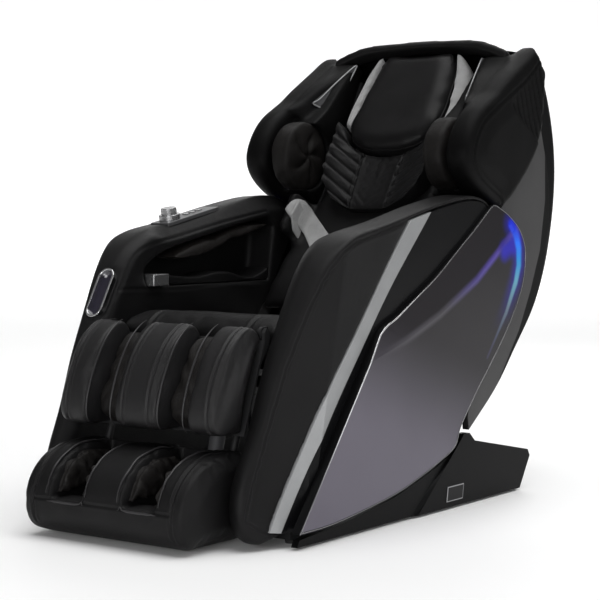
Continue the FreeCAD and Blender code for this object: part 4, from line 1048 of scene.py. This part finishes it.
class CHAIR_OT_legrest(bpy.types.Operator):
    """Three calf pads with piping, and the airbag cloth in the two channels"""
    bl_idname = "chair.legrest"
    bl_label = "Leg rest pads"

    def execute(self, context):
        front = curve_through([(-424, 486), (-452, 492), (-486, 476), (-524, 440), (-560, 378), (-583, 312),
                               (-582, 268), (-556, 244)], 60)
        for node, lines in (("calf_pad_centre", (-38, 38)), ("calf_pad_left", (211,)),
                            ("calf_pad_right", (-211,))):
            obj = filled(node.replace("calf_", "calf_leather_"), [node], 0.0052, 11)
            co = drawing_coords(obj)
            fore = calf_side(obj)
            seams = np.min([np.abs(co[:, 0] - x) for x in lines], axis=0)
            press = groove(seams, 2.6, 2.8, 0.5) * fore
            press += 0.7 * hash_noise(co * np.array([1, 0.5, 0.5]), 26, 5) * fore
            press -= 12 * smooth_step(222, 250, np.abs(co[:, 0])) ** 1.5 * fore
            push(obj, press)
            relax(obj, 3, smooth_step(224, 240, np.abs(co[:, 0])))
            # the calf pads take the lighter copy of the leather: painted light
            finish_piece(obj, "legrest", "leather_black", [node], material="leather_calf_painted_light")
            runs = [[at(x, y, z) for y, z in front[6:-3]] for x in lines]
            sewn(node.replace("calf_", "calf_stitching_"), obj, runs, "legrest", "leather_black", 0.004,
                 aim=(0, 0.92, -0.4))
        obj = filled("calf_bag_cloth", ["calf_airbags"], 0.0045, 9, rounds=4)
        co = drawing_coords(obj)
        fore = calf_side(obj)
        centre = np.abs(co[:, 0]) - 108
        folds = np.sin(co[:, 2] / 9 + centre / 11 + 2.2 * hash_noise(co, 40, 2))
        folds *= bell(np.abs(centre) - 30, 22)
        push(obj, fore * (2.2 * folds + 1.5 * hash_noise(co, 18, 7)))
        finish_piece(obj, "legrest", "bag_brown", ["calf_airbags"])
        runs = [[at(x, y + 4, z - 1) for y, z in front[6:-3]] for x in (-145, -71, 71, 145)]
        cords = [tube("calf_piping_%d" % k, run, sizes().piping_radius * 1.25, taper=True)
                 for k, run in enumerate(runs)]
        # the calf piping takes the lighter copy of the leather: painted highlights
        finish_piece(join("calf_piping", cords), "legrest", "leather_black", material="piping_painted_highlight")
        return {"FINISHED"}


class CHAIR_OT_footrest(bpy.types.Operator):
    """Foot box with lined wells, kick cover and guide rods"""
    bl_idname = "chair.footrest"
    bl_label = "Foot box"

    def execute(self, context):
        obj = filled("foot_leather", ["foot_box", "foot_kick_cover"], 0.006, 8, rounds=4,
                     cuts=[(at(0, 0, 213), (0, 0, 1))])
        co = drawing_coords(obj)
        no = normals(obj)
        upper = smooth_step(0.0, 0.5, no[:, 2] - no[:, 1])
        seams = np.abs(np.abs(co[:, 0]) - FOOT_SEAM_X)
        press = groove(seams, 2.6, 2.8, 0.5) * upper
        sill = np.abs(co[:, 2] - 92)
        press += groove(sill, 2.4, 2.4) * smooth_step(0.4, 0.8, -no[:, 1]) * (np.abs(co[:, 0]) < FOOT_SEAM_X)
        rim = np.minimum(np.abs(np.abs(co[:, 0]) - 52), np.abs(np.abs(co[:, 0]) - 164))
        press += groove(rim, 2.2, 2.0) * upper * smooth_step(92, 110, co[:, 2])
        push(obj, press + 0.6 * hash_noise(co, 40, 9) * upper)
        finish_piece(obj, "footrest", "leather_black", ["foot_box", "foot_kick_cover"])
        outline = curve_through([(-470, 208), (-535, 211), (-585, 207), (-630, 190), (-668, 160), (-692, 124),
                                 (-700, 88), (-690, 36), (-660, 14)], 50)
        runs = [[at(x, y, z) for y, z in outline] for x in (-FOOT_SEAM_X, FOOT_SEAM_X)]
        sewn("foot_stitching", obj, runs, "footrest", "leather_black", 0.004)
        rims = []
        for side in (-1, 1):
            for x in (50, 166):
                run = outline[1:36]
                rims.append([at(side * x + 1.2 * math.sin(k * 0.6 + x), y, z)
                             for k, (y, z) in enumerate(run)])
            rims.append([at(side * x, -700, 93 + 1.5 * math.sin(x / 9)) for x in range(52, 166, 3)])
        piping("foot_piping", obj, rims, "footrest", "leather_black", 0.0028, 0.0012)
        rods = []
        for x in (-190, 190):
            start = at(x, -374, 430) + FOOT_ROD_RUN * 0.014
            rods.append(tube("rod", [start + FOOT_ROD_RUN * (0.245 * k / 12) for k in range(13)], 0.009, 20))
        finish_piece(join("foot_rods", rods), "footrest", "frame_steel")
        liner = filled("foot_bag_cloth", ["foot_liners"], 0.0045, 9)
        co = drawing_coords(liner)
        side = smooth_step(0.3, 0.8, np.abs(normals(liner)[:, 0]))
        folds = np.sin((co[:, 1] + co[:, 2] * 1.4) / 11 + 2.5 * hash_noise(co, 34, 4))
        d_outline = distance_to(co[:, 1:3], outline)
        side *= smooth_step(6, 26, d_outline)
        push(liner, side * (6 + 4 * folds + 2.5 * hash_noise(co, 15, 6)))
        finish_piece(liner, "footrest", "bag_brown", ["foot_liners"])
        return {"FINISHED"}


class CHAIR_OT_arm_fittings(bpy.types.Operator):
    """Forearm airbags, trays, and the knob's ridges"""
    bl_idname = "chair.arm_fittings"
    bl_label = "Arm fittings"

    def execute(self, context):
        obj = filled("arm_bag_cloth", ["arm_airbags"], 0.0055, 4)
        co = drawing_coords(obj)
        push(obj, 0.8 * hash_noise(co, 22, 8))
        # the forearm airbags take the lighter copy of the airbag cloth: painted light
        finish_piece(obj, "seat", "leather_black", ["arm_airbags"], material="bag_gloss_painted_light")
        tray = soft_copy("arm_tray_cover", ["arm_trays"], 0.004, 5)
        finish_piece(tray, "seat", "leather_black", ["arm_trays"])
        ridges = []
        up = Vector((0, -math.sin(PANEL_SLOPE), math.cos(PANEL_SLOPE)))
        along = Vector((0, math.cos(PANEL_SLOPE), math.sin(PANEL_SLOPE)))
        seat = at(*KNOB_PLACE) + along * -0.062 + up * 0.0033
        for k in range(KNOB_RIDGES):
            angle = 2 * math.pi * k / KNOB_RIDGES
            out = Vector((1, 0, 0)) * math.cos(angle) + along * math.sin(angle)
            ridges.append(tube("ridge", [seat + out * 0.0199 + up * (0.0165 + 0.0025 * s) for s in range(5)],
                               0.0007, 6))
        finish_piece(join("knob_ridges", ridges), "knob", "silver_plastic")
        return {"FINISHED"}


class CHAIR_OT_back_pads(bpy.types.Operator):
    """Back cushion, quilted lumbar pad, pillow with silver gussets and lumbar triangles"""
    bl_idname = "chair.back_pads"
    bl_label = "Back pads and pillow"

    def execute(self, context):
        obj = soft_copy("back_leather", ["back_cushion"], 0.009, 3)
        stuff(obj, 9)
        relax(obj, 4)
        finish_piece(obj, "back", "leather_black", ["back_cushion"])
        cushion = surface_of(obj)
        rear = Vector((0, math.cos(BACK_LEAN), -math.sin(BACK_LEAN)))

        obj = filled("lumbar_pad", ["back_pad"], 0.0042, 9)
        local = back_coords(obj)
        fore = smooth_step(0.1, 0.6, -to_back_direction(normals(obj))[:, 1])
        across = np.abs(local[:, 0])
        # slanted channels run outwards and up from a plain middle
        rise = local[:, 2] - 0.6 * (across - 58)
        channel = to_nearest(rise - 352, 32)
        sides = smooth_step(56, 66, across) * (1 - smooth_step(150, 166, across))
        edge_line = groove(np.abs(across - 58 - 0.05 * (local[:, 2] - 342)), 2.4, 3.2)
        press = sides * groove(channel, 3.0, 3.6, 0.3) + edge_line
        push(obj, press * fore)
        relax(obj, 6, smooth_step(158, 168, across))
        finish_piece(obj, "back", "leather_black", ["back_pad"])

        obj = filled("pillow_leather", ["pillow"], 0.0065, 7, ease=14)
        co = drawing_coords(obj)
        push(obj, 0.8 * hash_noise(co, 55, 12))
        finish_piece(obj, "back", "leather_black", ["pillow"], material="leather_smooth")
        ring = []
        for x, z in curve_through([(-138, 614), (-114, 562), (-60, 535), (0, 529), (60, 535), (114, 562),
                                   (138, 614), (137, 710), (124, 818), (108, 862), (-108, 862), (-124, 818),
                                   (-137, 710)], 150, True):
            high = z - PILLOW_FOOT_Z
            ring.append(at_back(x, PILLOW_FOOT_Y + high * math.sin(PILLOW_LEAN),
                                PILLOW_FOOT_Z + high * math.cos(PILLOW_LEAN)))
        laid, _ = lay_on(surface_of(obj), ring, 0.0005, rear)
        cord = tube("pillow_piping", laid, 0.0019, closed=True)
        finish_piece(cord, "back", "leather_black", material="leather_smooth")

        obj = filled("pillow_gussets", ["pillow_sides"], 0.006, 4, ease=6)
        finish_piece(obj, "back", "fabric_silver", ["pillow_sides"])

        obj = soft_copy("trims", ["lumbar_trims"], 0.003, 3)
        patches = [obj]
        a, b, c, d = (np.array(corner) for corner in LUMBAR_PATCH)
        for _, side in SIDES:
            grid, faces = [], []
            for v in np.linspace(0, 1, PATCH_ROWS):
                for u in np.linspace(0, 1, PATCH_COLUMNS):
                    x, z = a * (1 - u) * (1 - v) + b * u * (1 - v) + c * u * v + d * (1 - u) * v
                    grid.append(at_back(side * x, -140, z))
            laid, _ = lay_on(cushion, grid, 0.0022, rear)
            for row in range(PATCH_ROWS - 1):
                for column in range(PATCH_COLUMNS - 1):
                    k = row * PATCH_COLUMNS + column
                    faces.append((k, k + 1, k + PATCH_COLUMNS + 1, k + PATCH_COLUMNS))
            patch = mesh_object("trim_patch", laid, faces)
            thick = patch.modifiers.new("thick", "SOLIDIFY")
            thick.thickness = 0.003
            thick.offset = 0
            apply_modifiers(patch)
            patches.append(patch)
        obj = join("lumbar_triangles", patches)
        finish_piece(obj, "back", "fabric_silver", ["lumbar_trims"])
        return {"FINISHED"}


def to_back_direction(no):
    c, s = math.cos(BACK_LEAN), math.sin(BACK_LEAN)
    return np.stack([no[:, 0], no[:, 1] * c - no[:, 2] * s, no[:, 1] * s + no[:, 2] * c], 1)


class CHAIR_OT_wings(bpy.types.Operator):
    """Head wings, shoulder airbags and hood"""
    bl_idname = "chair.wings"
    bl_label = "Wings and hood"

    def execute(self, context):
        edge = curve_through([(58, 392), (-10, 385), (-66, 386), (-110, 400), (-138, 428), (-150, 470),
                              (-149, 515), (-137, 562), (-110, 612), (-66, 684), (-17, 762), (10, 815),
                              (24, 852), (38, 884)], 80)
        for side_name, side in SIDES:
            obj = soft_copy("wing_leather_" + side_name, ["wing_" + side_name], 0.0048, 5)
            local = back_coords(obj)
            d_edge = distance_to(local[:, 1:3], edge)
            rise = np.sin(np.pi * np.clip((local[:, 2] - 650) / 240, 0, 1)) * bell(d_edge, 60)
            local[:, 1] -= 11 * rise
            local[:, 2] += 6 * rise
            set_back_coords(obj, local)
            relax(obj, 24, bell(d_edge, 30))
            local = back_coords(obj)
            no = to_back_direction(normals(obj))
            outer = smooth_step(0.35, 0.8, no[:, 0] * side)
            d_edge = distance_to(local[:, 1:3], edge)
            border = groove(np.abs(d_edge - 30), 2.8, 3.0) * outer
            field = smooth_step(34, 90, d_edge)
            pleat_line = local[:, 1] * 0.62 + local[:, 2] * 0.78
            pleats = groove(to_nearest(pleat_line - 8, 24), 3.2, 3.4, 0.3)
            zone = smooth_step(-26, -8, local[:, 1] - 0.34 * (local[:, 2] - 660))
            zone *= smooth_step(640, 668, local[:, 2])
            zone *= outer * smooth_step(30, 44, d_edge)
            swell = 5.0 * field * outer * (1 - zone)
            push(obj, border + pleats * zone + swell + 0.6 * hash_noise(local, 60, 4 + side))
            # the wings take the darker copy of the leather: painted shade
            finish_piece(obj, "back", "leather_black", ["wing_" + side_name], material="leather_painted_shade")

        obj = filled("shoulder_bag_cloth", ["shoulder_airbags"], 0.0045, 8, rounds=4)
        local = back_coords(obj)
        local[:, 1] = SHOULDER_Y + (local[:, 1] - SHOULDER_Y) * 1.08
        local[:, 2] = SHOULDER_Z + (local[:, 2] - SHOULDER_Z) * 1.10
        set_back_coords(obj, local)
        radial = np.hypot(local[:, 1] - SHOULDER_Y, local[:, 2] - SHOULDER_Z)
        angle = np.arctan2(local[:, 2] - SHOULDER_Z, local[:, 1] - SHOULDER_Y)
        inner = smooth_step(0.2, 0.8, -to_back_direction(normals(obj))[:, 0] * np.sign(local[:, 0]))
        star = np.abs(np.sin(angle * 2.5 + 0.7 + 0.02 * radial)) ** 0.6
        gathers = 12 * (1 - star) * bell(radial - 36, 34) + 7 * bell(radial, 10)
        push(obj, inner * (5 - gathers) + 2.2 * hash_noise(local, 26, 5))
        relax(obj, 3)
        finish_piece(obj, "back", "leather_black", ["shoulder_airbags"], material="bag_brown")

        obj = soft_copy("hood_leather", ["hood"], 0.0045, 5)
        local = back_coords(obj)
        ends = smooth_step(170, 318, np.abs(local[:, 0]))
        local[:, 2] -= 22 * ends
        local[:, 1] += 10 * ends
        set_back_coords(obj, local)
        relax(obj, 10)
        finish_piece(obj, "back", "leather_black", ["hood"])

        for side_name, side in SIDES:
            out = Vector((-0.871 * side, -0.4915, 0)) * 3.4
            ring = []
            for x, y, z in curve_through([(252, -61.5, 655), (245, -49, 677), (231, -24.5, 744),
                                          (216, 2.3, 811), (209.5, 13.8, 833), (209, 14.6, 826),
                                          (212, 9.4, 770), (215.5, 3.2, 690), (216.5, 1.4, 664),
                                          (220, -4.8, 659), (240, -40.2, 654)], 90, True):
                ring.append(at_back(side * x + out.x, y + out.y, z))
            trim = tube("speaker_trim_" + side_name, ring, 0.0021, closed=True)
            finish_piece(trim, "back", "silver_plastic", material="stripe_silver")
        return {"FINISHED"}


class CHAIR_OT_stage(bpy.types.Operator):
    """Pale floor, studio lights and the camera"""
    bl_idname = "chair.stage"
    bl_label = "Stage"

    def execute(self, context):
        scene = context.scene
        for name, roughness, glow in (("pale_floor", 0.6, 0.02), ("pale_wall", 0.8, 0.45)):
            finishes[name] = Paint(name).surface(Base_Color=(0.88, 0.88, 0.88), Roughness=roughness,
                                                 Emission_Color=(1.0, 1.0, 1.0), Emission_Strength=glow)
        floor = mesh_object("floor", [(-16, -16, 0), (16, -16, 0), (16, 16, 0), (-16, 16, 0)],
                            [(0, 1, 2, 3)], False)
        floor.data.materials.append(finishes["pale_floor"])
        # a wall far behind, square to the camera's view, that bends up out of the floor
        across = Vector((math.cos(VIEW_TURN), math.sin(VIEW_TURN), 0))
        away = Vector((-math.sin(VIEW_TURN), math.cos(VIEW_TURN), 0))
        section = [(9.0, 0.001)] + [(9.0 + 3 * math.sin(a), 0.001 + 3 * (1 - math.cos(a)))
                                    for a in np.linspace(0.1, math.pi / 2, 10)] + [(12.0, 7.0)]
        verts = [away * far + across * side * 7 + Vector((0, 0, up))
                 for far, up in section for side in (-1, 1)]
        faces = [(k, k + 1, k + 3, k + 2) for k in range(0, len(verts) - 2, 2)]
        wall = mesh_object("wall", verts, faces)
        wall.data.materials.append(finishes["pale_wall"])
        world = bpy.data.worlds.new("studio")
        scene.world = world
        world.use_nodes = True
        world.node_tree.nodes["Background"].inputs["Color"].default_value = (1, 1, 1, 1)
        world.node_tree.nodes["Background"].inputs["Strength"].default_value = WORLD_STRENGTH
        sun = bpy.data.lights.new("sky", "SUN")
        sun.energy = SUN_POWER
        sun.angle = math.radians(60)
        lamp = bpy.data.objects.new("sky", sun)
        scene.collection.objects.link(lamp)
        lamp.rotation_euler = Vector(SUN_AIM).to_track_quat("-Z", "Y").to_euler()
        for name, place, aim, size, power in LAMPS:
            data = bpy.data.lights.new(name, "AREA")
            data.size = size
            data.energy = power
            lamp = bpy.data.objects.new(name, data)
            scene.collection.objects.link(lamp)
            lamp.location = place
            lamp.rotation_euler = (Vector(aim) - Vector(place)).to_track_quat("-Z", "Y").to_euler()
        data = bpy.data.cameras.new("camera")
        data.lens = CAMERA_LENS
        data.sensor_width = SENSOR_WIDTH
        camera = bpy.data.objects.new("camera", data)
        scene.collection.objects.link(camera)
        camera.location = CAMERA_PLACE
        camera.rotation_euler = (CAMERA_PITCH, 0, VIEW_TURN)
        scene.camera = camera
        scene.view_settings.view_transform = "Standard"
        return {"FINISHED"}


class CHAIR_PT_panel(bpy.types.Panel):
    """Lists the steps that dress the chair"""
    bl_idname = "CHAIR_PT_panel"
    bl_label = "Massage Chair"
    bl_space_type = "VIEW_3D"
    bl_region_type = "UI"
    bl_category = "Massage Chair"

    def draw(self, context):
        layout = self.layout
        for group in (context.scene.chair_colours, context.scene.chair_sizes):
            for name in group.__annotations__:
                layout.prop(group, name)
        for operator in OPERATORS:
            layout.operator(operator.bl_idname)


OPERATORS = (CHAIR_OT_finishes, CHAIR_OT_stage, CHAIR_OT_arms, CHAIR_OT_shell_trims, CHAIR_OT_seat,
             CHAIR_OT_legrest, CHAIR_OT_footrest, CHAIR_OT_arm_fittings, CHAIR_OT_back_pads, CHAIR_OT_wings)
CLASSES = (ChairColours, ChairSizes) + OPERATORS + (CHAIR_PT_panel,)


def register():
    for cls in CLASSES:
        bpy.utils.register_class(cls)
    bpy.types.Scene.chair_colours = bpy.props.PointerProperty(type=ChairColours)
    bpy.types.Scene.chair_sizes = bpy.props.PointerProperty(type=ChairSizes)


def unregister():
    del bpy.types.Scene.chair_sizes
    del bpy.types.Scene.chair_colours
    for cls in reversed(CLASSES):
        bpy.utils.unregister_class(cls)


def main():
    register()
    for operator in OPERATORS:
        group, name = operator.bl_idname.split(".")
        getattr(getattr(bpy.ops, group), name)()


if __name__ == "__main__":
    main()
